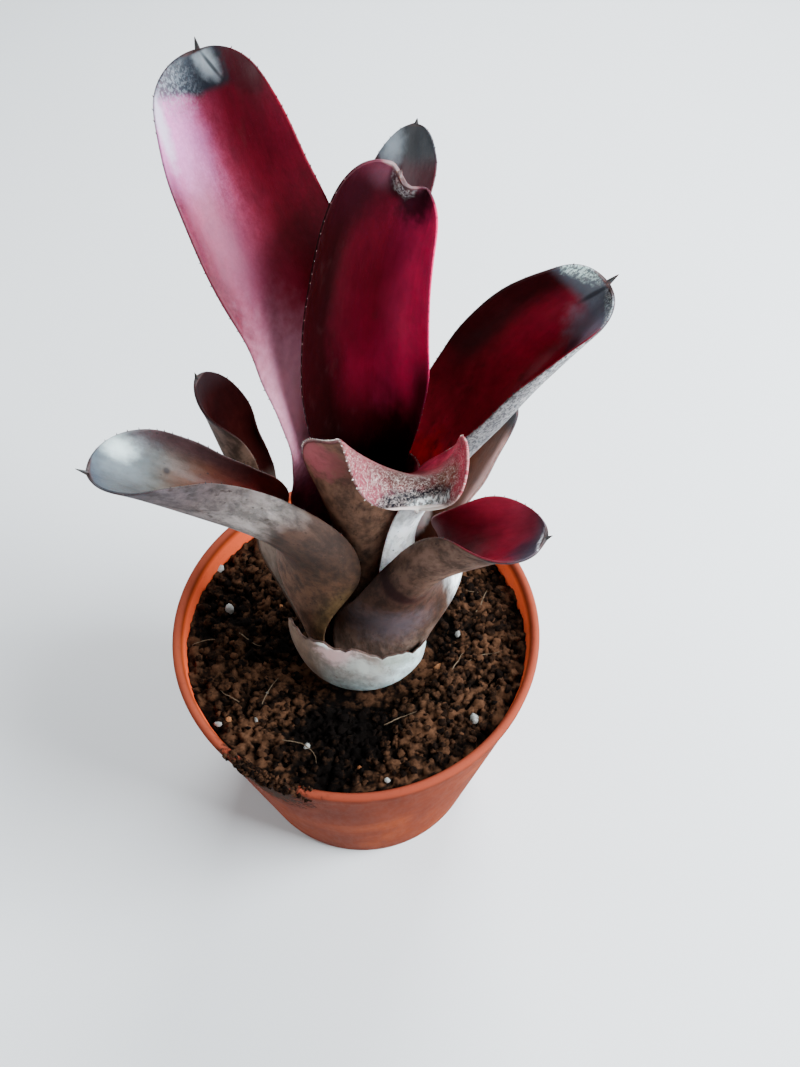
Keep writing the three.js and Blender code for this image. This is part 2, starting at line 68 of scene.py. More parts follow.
class Slot(Enum):
    """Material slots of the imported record."""

    POT = "pot_terracotta_plastic"
    SOIL = "potting_soil"
    STEM = "stem_tissue"
    OLD_SHEATH = "old_sheath_skin"
    LEAF = "leaf_skin"


# ---- Numbers ----


def clamp(x: Array, low: float = 0.0, high: float = 1.0) -> Array:
    """Limits x to low..high."""
    return np.clip(x, low, high)


def smooth(x: Array | float, low: float, high: float) -> Array:
    """Rises from 0 at low to 1 at high, level at both ends (3t^2 - 2t^3)."""
    t = clamp((np.asarray(x, float) - low) / (high - low))
    return t * t * (3 - 2 * t)


def lerp(a: Array | float, b: Array | float, t: Array | float) -> Array:
    """Straight mix of a and b."""
    return a + (b - a) * t


def along(values: tuple[float, ...], u: Array) -> Array:
    """Smooth curve through equally spaced values (Catmull-Rom, with straight ends).

    Args:
        values: Heights of the curve at equal steps of u.
        u: Places in 0..1.

    Returns:
        The curve's height at each u.
    """
    v = np.asarray(values, float)
    padded = np.concatenate([[2 * v[0] - v[1]], v, [2 * v[-1] - v[-2]]])
    last = len(v) - 1
    x = clamp(u) * last
    i = np.minimum(x.astype(int), last - 1)
    t = x - i
    a, b, c, d = padded[i], padded[i + 1], padded[i + 2], padded[i + 3]
    return 0.5 * (2 * b + (c - a) * t + (2 * a - 5 * b + 4 * c - d) * t**2 + (3 * b - a - 3 * c + d) * t**3)


def unit(vectors: Array) -> Array:
    """Vectors of length 1 along the last axis."""
    return vectors / (np.linalg.norm(vectors, axis=-1, keepdims=True) + 1e-12)


def waves(x: Array, y: Array, seed: int, count: int = 5, cycle: float = 6.28) -> Array:
    """Gentle seeded unevenness: a sum of sine waves with random directions and phases, about -1..1.

    Args:
        x: First coordinate, in wavelengths.
        y: Second coordinate, in wavelengths.
        seed: Picks the waves.
        count: Number of waves.
        cycle: Angle of one wave, in radians.

    Returns:
        The sum at each place.
    """
    rng = np.random.default_rng(seed)
    turns, phases = rng.uniform(0, cycle, count), rng.uniform(0, cycle, count)
    total = np.zeros(np.broadcast(x, y).shape)
    for turn, phase, pitch in zip(turns, phases, rng.uniform(0.6, 1.5, count)):
        total = total + np.sin(cycle * pitch * (x * math.cos(turn) + y * math.sin(turn)) + phase)
    return total / count**0.5


def full_turn(count: int) -> Array:
    """Equally spaced angles of a full turn, in radians."""
    return np.linspace(0, 2 * math.pi, count, endpoint=False)


def turned(radius: Array | float, z: Array | float, angle: Array) -> Array:
    """Points at a distance from the Z axis and a height, clockwise by an angle as seen from above."""
    return np.stack(np.broadcast_arrays(radius * np.cos(angle), -radius * np.sin(angle), z), -1)


# ---- Meshes ----


@dataclass
class Skin:
    """Collects the points and faces of one piece, and the marks that its finish reads at each point."""

    name: str
    points: list[Array] = field(default_factory=list)
    faces: list[list[int]] = field(default_factory=list)
    marks: list[dict[str, Array]] = field(default_factory=list)
    count: int = 0

    def add(self, points: Array, faces: list[Array], **marks: Array | float) -> None:
        """Adds one patch.

        Args:
            points: Places in millimetres, with three numbers in the last axis.
            faces: Arrays of point numbers within the patch, one row a face.
            marks: Values at the points, or one value for all of them.
        """
        flat = points.reshape(-1, 3)
        self.points.append(flat)
        for group in faces:
            self.faces.extend((group.reshape(-1, group.shape[-1]) + self.count).tolist())
        self.marks.append({k: np.broadcast_to(v, points.shape[:-1]).ravel() for k, v in marks.items()})
        self.count += len(flat)

    def values(self, key: str) -> Array:
        """One mark at all points, 0 in the patches that don't have it."""
        parts = [marks.get(key, np.zeros(len(points))) for marks, points in zip(self.marks, self.points)]
        return np.concatenate(parts).astype(np.float32)

    def make(self, slot: Slot, *nodes: str) -> bpy.types.Object:
        """Writes the piece into the scene, riding on the frame."""
        mesh = bpy.data.meshes.new(self.name)
        mesh.from_pydata((np.concatenate(self.points) * METRE).tolist(), [], self.faces)
        for key in sorted({key for marks in self.marks for key in marks}):
            mesh.attributes.new(key, "FLOAT", "POINT").data.foreach_set("value", self.values(key))
        mesh.polygons.foreach_set("use_smooth", [True] * len(mesh.polygons))
        mesh.update()
        piece = bpy.data.objects.new(self.name, mesh)
        bpy.context.scene.collection.objects.link(piece)
        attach(piece, "root")
        if nodes:
            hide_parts(*nodes)
        return piece


def ring_faces(rows: int, across: int) -> Array:
    """Four-sided faces between rings of points.

    Args:
        rows: Number of rings.
        across: Points in a ring.

    Returns:
        Faces that look outwards where the rings run up and each ring turns clockwise, as seen from above.
    """
    row, k = np.meshgrid(np.arange(rows - 1) * across, np.arange(across), indexing="ij")
    after, up = (k + 1) % across, row + across
    return np.stack([up + k, up + after, row + after, row + k], -1).reshape(-1, 4)


def fan_faces(ring: Array, centre: int, flip: bool) -> Array:
    """Triangles from a ring to one centre."""
    after, centres = np.roll(ring, -1), np.full_like(ring, centre)
    return np.stack([after, ring, centres] if flip else [ring, after, centres], -1)


# ---- Finishes ----


Socket = bpy.types.NodeSocket
Value = Socket | float | Colour
PER_METRE = 1000.0


class Blend(Enum):
    """Ways of mixing two colours."""

    COVER = "MIX"
    TINT = "MULTIPLY"


class Brush:
    """Lays out the nodes of one procedural material."""

    def __init__(self, name: str) -> None:
        """Starts an empty material."""
        self.material = bpy.data.materials.new(name)
        self.material.use_nodes = True
        self.tree = self.material.node_tree
        self.tree.nodes.clear()

    def node(
        self, kind: str, inputs: dict[str | int, Value] | None = None, **settings: object
    ) -> bpy.types.Node:
        """Adds a node, sets its properties, and feeds its inputs, each by name or number."""
        made = self.tree.nodes.new(kind)
        for key, value in settings.items():
            setattr(made, key, value)
        for key, value in (inputs or {}).items():
            self.feed(made.inputs[key], value)
        return made

    def feed(self, socket: Socket, value: Value) -> None:
        """Links a socket to an output, or sets its value, where a colour gets its fourth number."""
        if isinstance(value, bpy.types.NodeSocket):
            self.tree.links.new(value, socket)
        elif isinstance(value, tuple) and len(value) == 3 and len(socket.default_value) == 4:
            socket.default_value = (*value, 1.0)
        else:
            socket.default_value = value

    def mark(self, name: str) -> Socket:
        """Reads one of the piece's own marks."""
        return self.node("ShaderNodeAttribute", attribute_name=name).outputs["Fac"]

    def place(self) -> Socket:
        """The place in the piece's own frame, in millimetres."""
        metres = self.node("ShaderNodeTexCoord").outputs["Object"]
        inputs = {0: metres, "Scale": PER_METRE}
        return self.node("ShaderNodeVectorMath", inputs, operation="SCALE").outputs[0]

    def part(self, place: Socket, axis: int) -> Socket:
        """One coordinate of a place."""
        return self.node("ShaderNodeSeparateXYZ", {0: place}).outputs[axis]

    def vector(self, x: Value, y: Value, z: Value) -> Socket:
        """Three numbers as one place."""
        return self.node("ShaderNodeCombineXYZ", {0: x, 1: y, 2: z}).outputs[0]

    def stretch(self, place: Socket, scale: Colour) -> Socket:
        """A place with each coordinate multiplied."""
        return self.node("ShaderNodeVectorMath", {0: place, 1: scale}, operation="MULTIPLY").outputs[0]

    def away(self, place: Socket, point: Colour) -> Socket:
        """Distance of a place from a point."""
        return self.node("ShaderNodeVectorMath", {0: place, 1: point}, operation="DISTANCE").outputs["Value"]

    def math(self, operation: str, a: Value, b: Value = 0.0, clamped: bool = False) -> Socket:
        """One arithmetic step."""
        return self.node("ShaderNodeMath", {0: a, 1: b}, operation=operation, use_clamp=clamped).outputs[0]

    def plus(self, a: Value, b: Value) -> Socket:
        """Sum of two values."""
        return self.math("ADD", a, b)

    def minus(self, a: Value, b: Value) -> Socket:
        """The first value less the second."""
        return self.math("SUBTRACT", a, b)

    def times(self, a: Value, b: Value) -> Socket:
        """Product of two values."""
        return self.math("MULTIPLY", a, b)

    def sway(self, share: Socket, width: float) -> Socket:
        """A share in 0..1 as a swing of the given width round 0."""
        return self.times(self.minus(share, 0.5), width)

    def ease(self, value: Socket, low: float, high: float, start: float = 0.0, end: float = 1.0) -> Socket:
        """Goes smoothly from start at low to end at high."""
        inputs = {"Value": value, "From Min": low, "From Max": high, "To Min": start, "To Max": end}
        return self.node("ShaderNodeMapRange", inputs, interpolation_type="SMOOTHSTEP").outputs["Result"]

    def ramp(self, value: Socket, stops: Stops) -> Socket:
        """A colour that changes with a value, through stops."""
        made = self.node("ShaderNodeValToRGB", {"Fac": value})
        elements = made.color_ramp.elements
        while len(elements) < len(stops):
            elements.new(0.5)
        for element, (position, colour) in zip(elements, stops):
            element.position = position
            element.color = (*colour, 1.0)
        return made.outputs["Color"]

    def blend(self, share: Value, under: Value, over: Value, kind: Blend = Blend.COVER) -> Socket:
        """Mixes two colours: a share of the second one over the first."""
        inputs = {"Factor": share, 6: under, 7: over}
        settings = {"data_type": "RGBA", "blend_type": kind.value, "clamp_factor": True}
        return self.node("ShaderNodeMix", inputs, **settings).outputs[2]

    def tint(self, colour: Socket, tone: Socket) -> Socket:
        """A colour made lighter or darker by a tone round 1."""
        return self.blend(1.0, colour, self.vector(tone, tone, tone), Blend.TINT)

    def cloud(
        self, place: Socket, scale: float, layers: float = 3.0, rough: float = 0.55, bend: float = 0.0
    ) -> Socket:
        """Soft random clouds, about 0.3..0.7, with finer layers of some strength, bent out of shape."""
        inputs = {"Vector": place, "Scale": scale, "Detail": layers, "Roughness": rough, "Distortion": bend}
        return self.node("ShaderNodeTexNoise", inputs).outputs["Fac"]

    def cells(self, place: Socket, scale: float) -> Socket:
        """Distance from the nearest of many random points."""
        inputs = {"Vector": place, "Scale": scale}
        return self.node("ShaderNodeTexVoronoi", inputs, feature="F1").outputs["Distance"]

    def relief(self, height: Socket, depth: float, below: Socket | None = None) -> Socket:
        """A surface normal from a height in 0..1 that stands for depth millimetres, laid over another one."""
        inputs = {"Strength": 1.0, "Distance": depth * METRE, "Height": height}
        if below is not None:
            inputs["Normal"] = below
        return self.node("ShaderNodeBump", inputs).outputs["Normal"]

    def finish(
        self, colour: Socket, rough: Value, normal: Socket | None, **constants: object
    ) -> bpy.types.Material:
        """Ends the material in one shader.

        Args:
            colour: Base colour.
            rough: Roughness.
            normal: Surface normal, or None.
            constants: Values of the shader's own sockets, with spaces written as underscores.

        Returns:
            The finished material.
        """
        inputs = {"Base Color": colour, "Roughness": rough}
        if normal is not None:
            inputs["Normal"] = normal
        inputs.update({key.replace("_", " "): value for key, value in constants.items()})
        shader = self.node("ShaderNodeBsdfPrincipled", inputs)
        self.node("ShaderNodeOutputMaterial", {0: shader.outputs[0]})
        return self.material


class Pattern(Enum):
    """Random patterns on a leaf: clouds per mm across and along it, finer layers, their strength, bend."""

    DRIFT = (0.09, 0.035, 3.0, 0.55, 0.4)
    STREAKS = (1.4, 0.035, 4.0, 0.6, 0.0)
    MOTTLE = (0.3, 0.18, 7.0, 0.7, 0.15)
    STAINS = (0.34, 0.14, 6.0, 0.7, 0.2)
    SCURF = (3.4, 2.2, 5.0, 0.75, 0.3)
    SCURF_DRIFT = (0.22, 0.14, 3.0, 0.6, 0.8)
    MARK_EDGE = (0.55, 0.45, 4.0, 0.6, 0.0)
    MARK_FLECKS = (1.9, 1.3, 5.0, 0.72, 0.4)
    WORN_LIP = (0.6, 1.6, 5.0, 0.7, 0.0)
    VEINS = (1.1, 0.012, 2.0, 0.5, 0.0)
    GRAIN = (2.6, 1.6, 5.0, 0.7, 0.0)
    DENTS = (0.2, 0.09, 2.0, 0.5, 0.0)


class Spot:
    """A place on a leaf, with what its finish reads there."""

    def __init__(self, brush: Brush, place: Socket) -> None:
        """Reads the place across the leaf, the distance to the tip, and an uneven share of the length."""
        self.brush, self.place = brush, place
        self.across, self.to_tip = brush.mark("across"), brush.mark("to_tip")
        self.drift = self.pattern(Pattern.DRIFT)
        self.wander = brush.plus(brush.mark("share"), brush.sway(self.drift, 0.16))

    def pattern(self, kind: Pattern) -> Socket:
        """One of the random patterns at this place."""
        across, lengthwise, layers, rough, bend = kind.value
        place = self.brush.stretch(self.place, (across, lengthwise, 1.0))
        return self.brush.cloud(place, 1.0, layers, rough, bend)


class Side(Enum):
    """The two margins of a leaf, seen from the heart of the rosette."""

    LEFT = 1.0
    RIGHT = -1.0


@dataclass(frozen=True)
class Flank:
    """A colour that comes in from one margin of a leaf.

    Attributes:
        colour: The colour at the margin.
        side: The margin.
        start: Where it begins, as a share of the half width from the midrib towards that margin (-1..1).
        end: Where it is full.
        begins: Shares of the leaf's length between which it comes in.
        ends: Shares between which it goes again, past the tip unless they are given.
        strength: Share of the colour where it is full.
    """

    colour: Colour
    side: Side
    start: float
    end: float
    begins: tuple[float, float] = (0.0, 0.1)
    ends: tuple[float, float] = (1.1, 1.2)
    strength: float = 0.8

    def share(self, spot: Spot) -> Socket:
        """How much of its colour lies at a spot, before its strength."""
        brush = spot.brush
        towards = brush.plus(brush.times(spot.across, self.side.value), brush.sway(spot.drift, 0.5))
        begun, left = brush.ease(spot.wander, *self.begins), brush.ease(spot.wander, *self.ends, 1.0, 0.0)
        kept = brush.times(begun, left)
        return brush.times(brush.ease(towards, self.start, self.end), kept)


@dataclass(frozen=True)
class Patch:
    """One local mark on a leaf, an oval with a soft, slightly ragged edge.

    Attributes:
        colour: Its colour.
        at: Its middle, in mm across from the midrib (to the left) and from the tip.
        size: Half its length and half its breadth, in mm.
        strength: Share of the colour in its middle.
        turn: Turn of its length from across the leaf, in degrees.
        soft: Width of its edge as a share of its size.
        ragged: How uneven the edge is.
        flecked: Breaks it up into fine flecks.
    """

    colour: Colour
    at: tuple[float, float]
    size: tuple[float, float]
    strength: float = 0.8
    turn: float = 0.0
    soft: float = 0.6
    ragged: float = 0.6
    flecked: bool = False

    def share(self, spot: Spot) -> Socket:
        """How much of its colour lies at a spot: a distance in an oval frame, eased off at the edge."""
        brush = spot.brush
        x, y = brush.minus(brush.part(spot.place, 0), self.at[0]), brush.minus(spot.to_tip, self.at[1])
        c, s = math.cos(math.radians(self.turn)), math.sin(math.radians(self.turn))
        length = brush.plus(brush.times(x, c / self.size[0]), brush.times(y, s / self.size[0]))
        breadth = brush.plus(brush.times(x, -s / self.size[1]), brush.times(y, c / self.size[1]))
        reach = brush.math("SQRT", brush.plus(brush.times(length, length), brush.times(breadth, breadth)))
        reach = brush.plus(reach, brush.sway(spot.pattern(Pattern.MARK_EDGE), self.ragged * 2))
        amount = brush.ease(reach, 1 - self.soft, 1 + self.soft, self.strength, 0.0)
        if self.flecked:
            amount = brush.times(amount, brush.ease(spot.pattern(Pattern.MARK_FLECKS), 0.46, 0.56, 0.12, 1.0))
        return amount


@dataclass(frozen=True)
class FaceFinish:
    """Colours of one face of a leaf.

    Attributes:
        stops: Colours from the foot (0) to the tip (1).
        flanks: Colours that come in from the margins.
        tip: Colour of the end of the leaf.
        tip_reach: Distance from the tip, in mm, within which the tip's colour is full, and where it is gone.
        tip_slant: How much further, in mm, it reaches on the left margin.
        silver: Colour of the scurf, the fine silvery scales.
        scurf: Share of the face that scurf covers.
        tip_scurf: Share that it covers at the tip.
        blotch: Colour of stains and bruises.
        blotches: Strength of the stains.
        specks: Strength of the small dark spots.
        mottle: Unevenness of the tone, as a share.
        grain: Fine grain of the colours that come in from the margins.
        patches: Local marks.
        hairs: Strength of short pale hairs, seen as a fine tangle.
        rough: Roughness without scurf.
    """

    stops: Stops
    flanks: tuple[Flank, ...] = ()
    tip: Colour = (0.012, 0.010, 0.016)
    tip_reach: tuple[float, float] = (5.0, 15.0)
    tip_slant: float = 0.0
    silver: Colour = (0.42, 0.42, 0.45)
    scurf: float = 0.06
    tip_scurf: float = 0.3
    blotch: Colour = (0.05, 0.02, 0.02)
    blotches: float = 0.15
    specks: float = 0.0
    mottle: float = 0.1
    grain: float = 0.0
    patches: tuple[Patch, ...] = ()
    hairs: float = 0.0
    rough: float = 0.42

    def paint(self, spot: Spot) -> tuple[Socket, Socket]:
        """Lays the colour and roughness of the face.

        Streaks, mottling and stains break up the ground colour, the tip darkens, small spots and silvery
        scurf lie over it, and the local marks and the hairs come last.

        Args:
            spot: The place on the leaf.

        Returns:
            The colour and the roughness.
        """
        brush = spot.brush
        streaks = brush.ease(spot.pattern(Pattern.STREAKS), 0.3, 0.7, 0.96, 1.04)
        mottle = brush.ease(spot.pattern(Pattern.MOTTLE), 0.36, 0.64, 1 - self.mottle, 1 + self.mottle)
        colour = brush.tint(self.ground(spot), brush.times(streaks, mottle))
        stains = brush.ease(spot.pattern(Pattern.STAINS), 0.56, 0.68, 0.0, self.blotches)
        colour = brush.blend(stains, colour, self.blotch)
        edge = brush.plus(spot.to_tip, brush.sway(spot.drift, 3.0))
        edge = brush.minus(edge, brush.times(spot.across, self.tip_slant))
        colour = brush.blend(brush.ease(edge, *self.tip_reach, 1.0, 0.0), colour, self.tip)
        spots = brush.cells(brush.stretch(spot.place, (0.55, 0.4, 1.0)), 1.0)
        colour = brush.blend(brush.ease(spots, 0.06, 0.16, self.specks, 0.0), colour, self.blotch)
        veil = self.veil(spot)
        colour = brush.blend(veil, colour, self.silver)
        for patch in self.patches:
            colour = brush.blend(patch.share(spot), colour, patch.colour)
        if self.hairs:
            colour = self.draw_hairs(spot, colour)
        return colour, brush.math("ADD", brush.times(veil, 0.3), self.rough, clamped=True)

    def ground(self, spot: Spot) -> Socket:
        """The colour that runs through the stops along the leaf, with the flanks coming in across it."""
        brush = spot.brush
        colour = brush.ramp(spot.wander, self.stops)
        for flank in self.flanks:
            amount = flank.share(spot)
            if self.grain:
                grains = brush.cloud(spot.place, 1.3, 5.0, 0.75)
                amount = brush.times(amount, brush.ease(grains, 0.38, 0.62, 1 - self.grain, 1.0))
            colour = brush.blend(brush.times(amount, flank.strength), colour, flank.colour)
        return colour

    def veil(self, spot: Spot) -> Socket:
        """Share of scurf at a spot: fine flecks that lie in drifts, over a thin film."""
        brush = spot.brush
        near, far = self.tip_reach[0] * 0.6, self.tip_reach[1]
        cover = brush.ease(spot.to_tip, near, far, self.tip_scurf, self.scurf)
        fine, drifts = spot.pattern(Pattern.SCURF), spot.pattern(Pattern.SCURF_DRIFT)
        level = brush.plus(brush.times(fine, 0.62), brush.times(drifts, 0.38))
        flecks = brush.ease(brush.plus(level, brush.sway(cover, 0.36)), 0.5, 0.6)
        return brush.math("MAXIMUM", brush.times(flecks, 0.8), brush.times(cover, 0.2))

    def draw_hairs(self, spot: Spot, colour: Socket) -> Socket:
        """Draws pale hairs near the tip, along the lines where two tangled patterns pass their middle."""
        brush = spot.brush
        near = brush.ease(spot.to_tip, 4.0, 20.0, 1.0, 0.0)
        for scale in (0.7, 1.1):
            tangle = brush.cloud(spot.place, scale, 3.0, 0.6, bend=1.5)
            line = brush.math("ABSOLUTE", brush.minus(tangle, 0.5))
            hair = brush.times(brush.ease(line, 0.004, 0.015, self.hairs, 0.0), near)
            colour = brush.blend(hair, colour, self.silver)
        return colour


@dataclass(frozen=True)
class LeafFinish:
    """Both faces of a leaf, its margin and its spines.

    Attributes:
        inner: The face towards the heart of the rosette.
        outer: The other face.
        margin: Colour of the margin.
        lip: Strength of that colour.
        spine: Colour of the spines.
        spine_tip: Colour of their points.
        glow: How much light the blade lets through.
        gloss: Strength of its shine.
        turned: Width in mm of the band along the outer face's margins that has the inner face's colour.
        apart: How far apart the patterns of the two faces are read, in mm.
    """

    inner: FaceFinish
    outer: FaceFinish
    margin: Colour = (0.07, 0.03, 0.03)
    lip: float = 0.25
    spine: Colour = (0.035, 0.035, 0.035)
    spine_tip: Colour = (0.02, 0.012, 0.01)
    glow: float = 0.12
    gloss: float = 0.2
    turned: float = 0.0
    apart: float = 40.0

    def material(self, name: str) -> bpy.types.Material:
        """Makes the leaf's material: two faces, pale worn margins, dark tips, and veins, grain and dents.

        Args:
            name: The material's name.

        Returns:
            The material.
        """
        brush = Brush(name)
        to_margin, spiny = brush.mark("to_margin"), brush.mark("spine")
        side = brush.ease(brush.mark("inner"), 0.12, 0.42)
        if self.turned:
            band = brush.ease(to_margin, self.turned * 0.6, self.turned, 1.0, 0.0)
            side = brush.math("MAXIMUM", side, band)
        place = brush.vector(brush.mark("mm_across"), brush.mark("mm_along"), brush.times(side, self.apart))
        spot = Spot(brush, place)
        inner, inner_rough = self.inner.paint(spot)
        outer, outer_rough = self.outer.paint(spot)
        colour = brush.blend(side, outer, inner)
        worn = brush.ease(spot.pattern(Pattern.WORN_LIP), 0.42, 0.56, 0.15, 1.0)
        lip = brush.times(brush.ease(to_margin, 0.0, 0.4, self.lip, 0.0), worn)
        colour = brush.blend(lip, colour, self.margin)
        tooth = brush.ramp(spiny, ((0.0, self.margin), (0.45, self.spine), (1.0, self.spine_tip)))
        colour = brush.blend(brush.ease(spiny, 0.02, 0.2), colour, tooth)
        rough = brush.plus(brush.times(inner_rough, side), brush.times(outer_rough, brush.minus(1.0, side)))
        normal = None
        for pattern, depth in ((Pattern.VEINS, 0.025), (Pattern.GRAIN, 0.05), (Pattern.DENTS, 0.35)):
            normal = brush.relief(spot.pattern(pattern), depth, normal)
        return brush.finish(
            colour, rough, normal,
            Subsurface_Weight=self.glow, Subsurface_Radius=(1.0, 0.22, 0.12), Subsurface_Scale=0.0012,
            Specular_IOR_Level=self.gloss,
        )


@dataclass(frozen=True)
class PotFinish:
    """Matt moulded plastic with scuffs, dried tide marks, and soil smeared on the wall and round the foot."""

    body: Colour = (0.165, 0.0215, 0.0022)
    deep: Colour = (0.115, 0.014, 0.0014)
    faded: Colour = (0.26, 0.041, 0.0045)
    # Lighter colour along the top of the rim: partly wear, partly a painted highlight.
    worn: Colour = (0.33, 0.066, 0.038)
    rim_wear_and_highlight_from: tuple[float, float] = (86.4, 87.8)
    # Bright orange on the inner wall: painted light shining through the thin plastic.
    inner: Colour = (0.9, 0.12, 0.04)
    dirt: Colour = (0.04, 0.02, 0.012)
    smear: Colour = (-23.0, -44.0, 82.0)
    smear_reach: tuple[float, float] = (4.0, 24.0)
    foot_dirt: float = 16.0
    squash: float = 0.8

    def material(self) -> bpy.types.Material:
        """Makes the pot's material.

        Clouds mix the body with deeper and faded tones, fine flow lines run round the wall, the top of the
        rim is lighter, partly wear and partly a painted highlight, the inner wall is a bright orange that is
        painted light shining through the thin plastic, and soil clings in a patch below the rim and thinly
        round the foot.
        """
        brush = Brush("terracotta_coloured_plastic")
        place = brush.place()
        height = brush.part(place, 2)
        broad = brush.cloud(place, 0.035, 4.0, 0.6, 0.5)
        colour = brush.ramp(broad, ((0.32, self.deep), (0.52, self.body), (0.72, self.faded)))
        rings = brush.cloud(brush.stretch(place, (0.02, 0.02, 1.6)), 1.0, 3.0, 0.6)
        colour = brush.tint(colour, brush.ease(rings, 0.3, 0.7, 0.9, 1.1))
        # Painted highlight, partly wear: the top of the rim is lighter.
        colour = brush.blend(brush.ease(height, *self.rim_wear_and_highlight_from, 0.0, 0.6), colour, self.worn)
        # Painted light: the inner wall below the rim turns bright orange.
        colour = brush.blend(brush.times(brush.mark("inside"), 0.85), colour, self.inner)
        level = self.dirt_level(brush, place, height)
        soiled, haze = brush.ease(level, 0.66, 0.8), brush.ease(level, 0.5, 0.8, 0.0, 0.3)
        colour = brush.blend(brush.math("MAXIMUM", soiled, haze), colour, self.dirt)
        scuff = brush.cloud(brush.stretch(place, (0.5, 0.5, 0.12)), 1.0, 5.0, 0.7)
        rough = brush.plus(brush.ease(scuff, 0.35, 0.65, 0.7, 0.8), brush.times(soiled, 0.2))
        normal = None
        for bumps, depth in ((brush.cloud(place, 1.3, 4.0, 0.6), 0.015), (rings, 0.03), (soiled, 0.4)):
            normal = brush.relief(bumps, depth, normal)
        return brush.finish(
            colour, rough, normal,
            Specular_IOR_Level=0.06, Subsurface_Weight=0.05, Subsurface_Radius=(1.0, 0.3, 0.15),
            Subsurface_Scale=0.001,
        )

    def dirt_level(self, brush: Brush, place: Socket, height: Socket) -> Socket:
        """Crumbly clouds, raised near the smear and the foot, that soil the wall where they pass 0.7."""
        middle = (self.smear[0], self.smear[1], self.smear[2] * self.squash)
        away = brush.away(brush.stretch(place, (1.0, 1.0, self.squash)), middle)
        near = brush.ease(away, *self.smear_reach, 0.34, 0.0)
        low = brush.ease(height, 0.0, self.foot_dirt, 0.12, 0.0)
        return brush.plus(brush.cloud(place, 0.55, 6.0, 0.72, 0.6), brush.plus(near, low))


# Places of painted shadow on the soil, left of the plant and in front of its base: x, y and reach in mm.
PAINTED_SHADOW_PLACES = (
    (-40.0, 5.0, 8.0), (-25.0, 1.0, 9.0), (-5.0, -36.0, 13.0), (-2.0, -26.0, 14.0), (26.0, 0.0, 6.0),
)


@dataclass(frozen=True)
class GrainFinish:
    """Something loose and dull: soil, crumbs, perlite, bark or fibre.

    Attributes:
        name: The material's name.
        dark: Colour in its hollows.
        body: Usual colour.
        light: Colour of its lightest bits.
        scale: Number of its clouds per mm.
        rough: Roughness.
        depth: Depth of its fine relief, in mm.
        painted_shade: How much darker it is in the places of painted shadow, each given as x, y and reach in
            mm.
        gloss: Specular level.
    """

    name: str
    dark: Colour
    body: Colour
    light: Colour
    scale: float = 0.5
    rough: float = 0.92
    depth: float = 0.5
    painted_shade: float = 0.0
    gloss: float = 0.06

    def material(self) -> bpy.types.Material:
        """Makes the material: two sizes of clouds choose the colour, and a mark sets the tone of each piece.

        On the soil that mark follows the relief, as painted shade in its hollows.
        """
        brush = Brush(self.name)
        place = brush.place()
        clouds = brush.cloud(place, self.scale, 6.0, 0.72, 0.3)
        level = brush.plus(brush.times(clouds, 0.7), brush.times(brush.mark("own_tone"), 0.4))
        level = brush.minus(level, brush.times(brush.cells(place, self.scale * 1.7), 0.12))
        level = brush.plus(level, brush.sway(brush.cloud(place, self.scale * 0.12, 4.0, 0.6), 0.5))
        # Painted shadow: the soil is darkened round the listed places, where the plant's shadow falls.
        if self.painted_shade:
            ragged = brush.sway(brush.cloud(place, 0.09), 26.0)
            flat = brush.stretch(place, (1.0, 1.0, 0.0))
            for x, y, reach in PAINTED_SHADOW_PLACES:
                edge = brush.plus(brush.away(flat, (x, y, 0.0)), ragged)
                level = brush.minus(level, brush.ease(edge, reach * 0.55, reach * 1.25, self.painted_shade, 0.0))
        colour = brush.ramp(level, ((0.28, self.dark), (0.46, self.body), (0.78, self.light)))
        normal = brush.relief(brush.cloud(place, self.scale * 6.0, 6.0, 0.75), self.depth)
        return brush.finish(colour, self.rough, normal, Specular_IOR_Level=self.gloss)


PEAT = GrainFinish(
    "peat_mix", (0.002, 0.001, 0.0006), (0.018, 0.0080, 0.0038), (0.105, 0.046, 0.023), 0.7, 0.95, 0.6,
    painted_shade=0.2
)
PEAT_CRUMB = GrainFinish(
    "peat_crumb", (0.003, 0.0015, 0.001), (0.021, 0.0093, 0.0046), (0.105, 0.046, 0.023), 0.9, 0.95, 0.5,
    painted_shade=0.2
)
PERLITE = GrainFinish("perlite", (0.12, 0.11, 0.09), (0.3, 0.3, 0.28), (0.5, 0.5, 0.48), 1.2, 0.85, 0.3)
BARK = GrainFinish("bark_chip", (0.12, 0.04, 0.015), (0.3, 0.12, 0.05), (0.42, 0.2, 0.09), 0.9, 0.85, 0.3)
ROOT_FIBRE = GrainFinish(
    "root_fibre", (0.05, 0.03, 0.018), (0.12, 0.08, 0.05), (0.26, 0.2, 0.14), 1.5, 0.8, 0.1
)
STEM_TISSUE = GrainFinish(
    "stem_tissue", (0.1, 0.09, 0.04), (0.28, 0.25, 0.13), (0.42, 0.4, 0.26), 0.6, 0.7, 0.2
)


# ---- Leaves ----


@dataclass(frozen=True)
class Nest:
    """How the leaves sit on the stem, as in the solids."""

    stem_radius: float = 3.9
    stem_taper: float = 0.08
    stem_gap: float = 0.3
    top_base: float = 91.0
    base_step: float = 1.25
    ring_radius: float = 5.6
    ring_step: float = 1.35

    def foot(self, ring: int) -> float:
        """Height at which a leaf leaves the stem."""
        return self.top_base - self.base_step * ring

    def inner(self, ring: int) -> float:
        """Radius at which it does."""
        return self.stem_radius + self.stem_taper * (self.top_base - self.foot(ring)) + self.stem_gap

    def bend(self, ring: int) -> float:
        """Length over which it turns up beside its neighbours."""
        return (self.ring_radius + self.ring_step * ring - self.inner(ring)) * 1.6 + 2


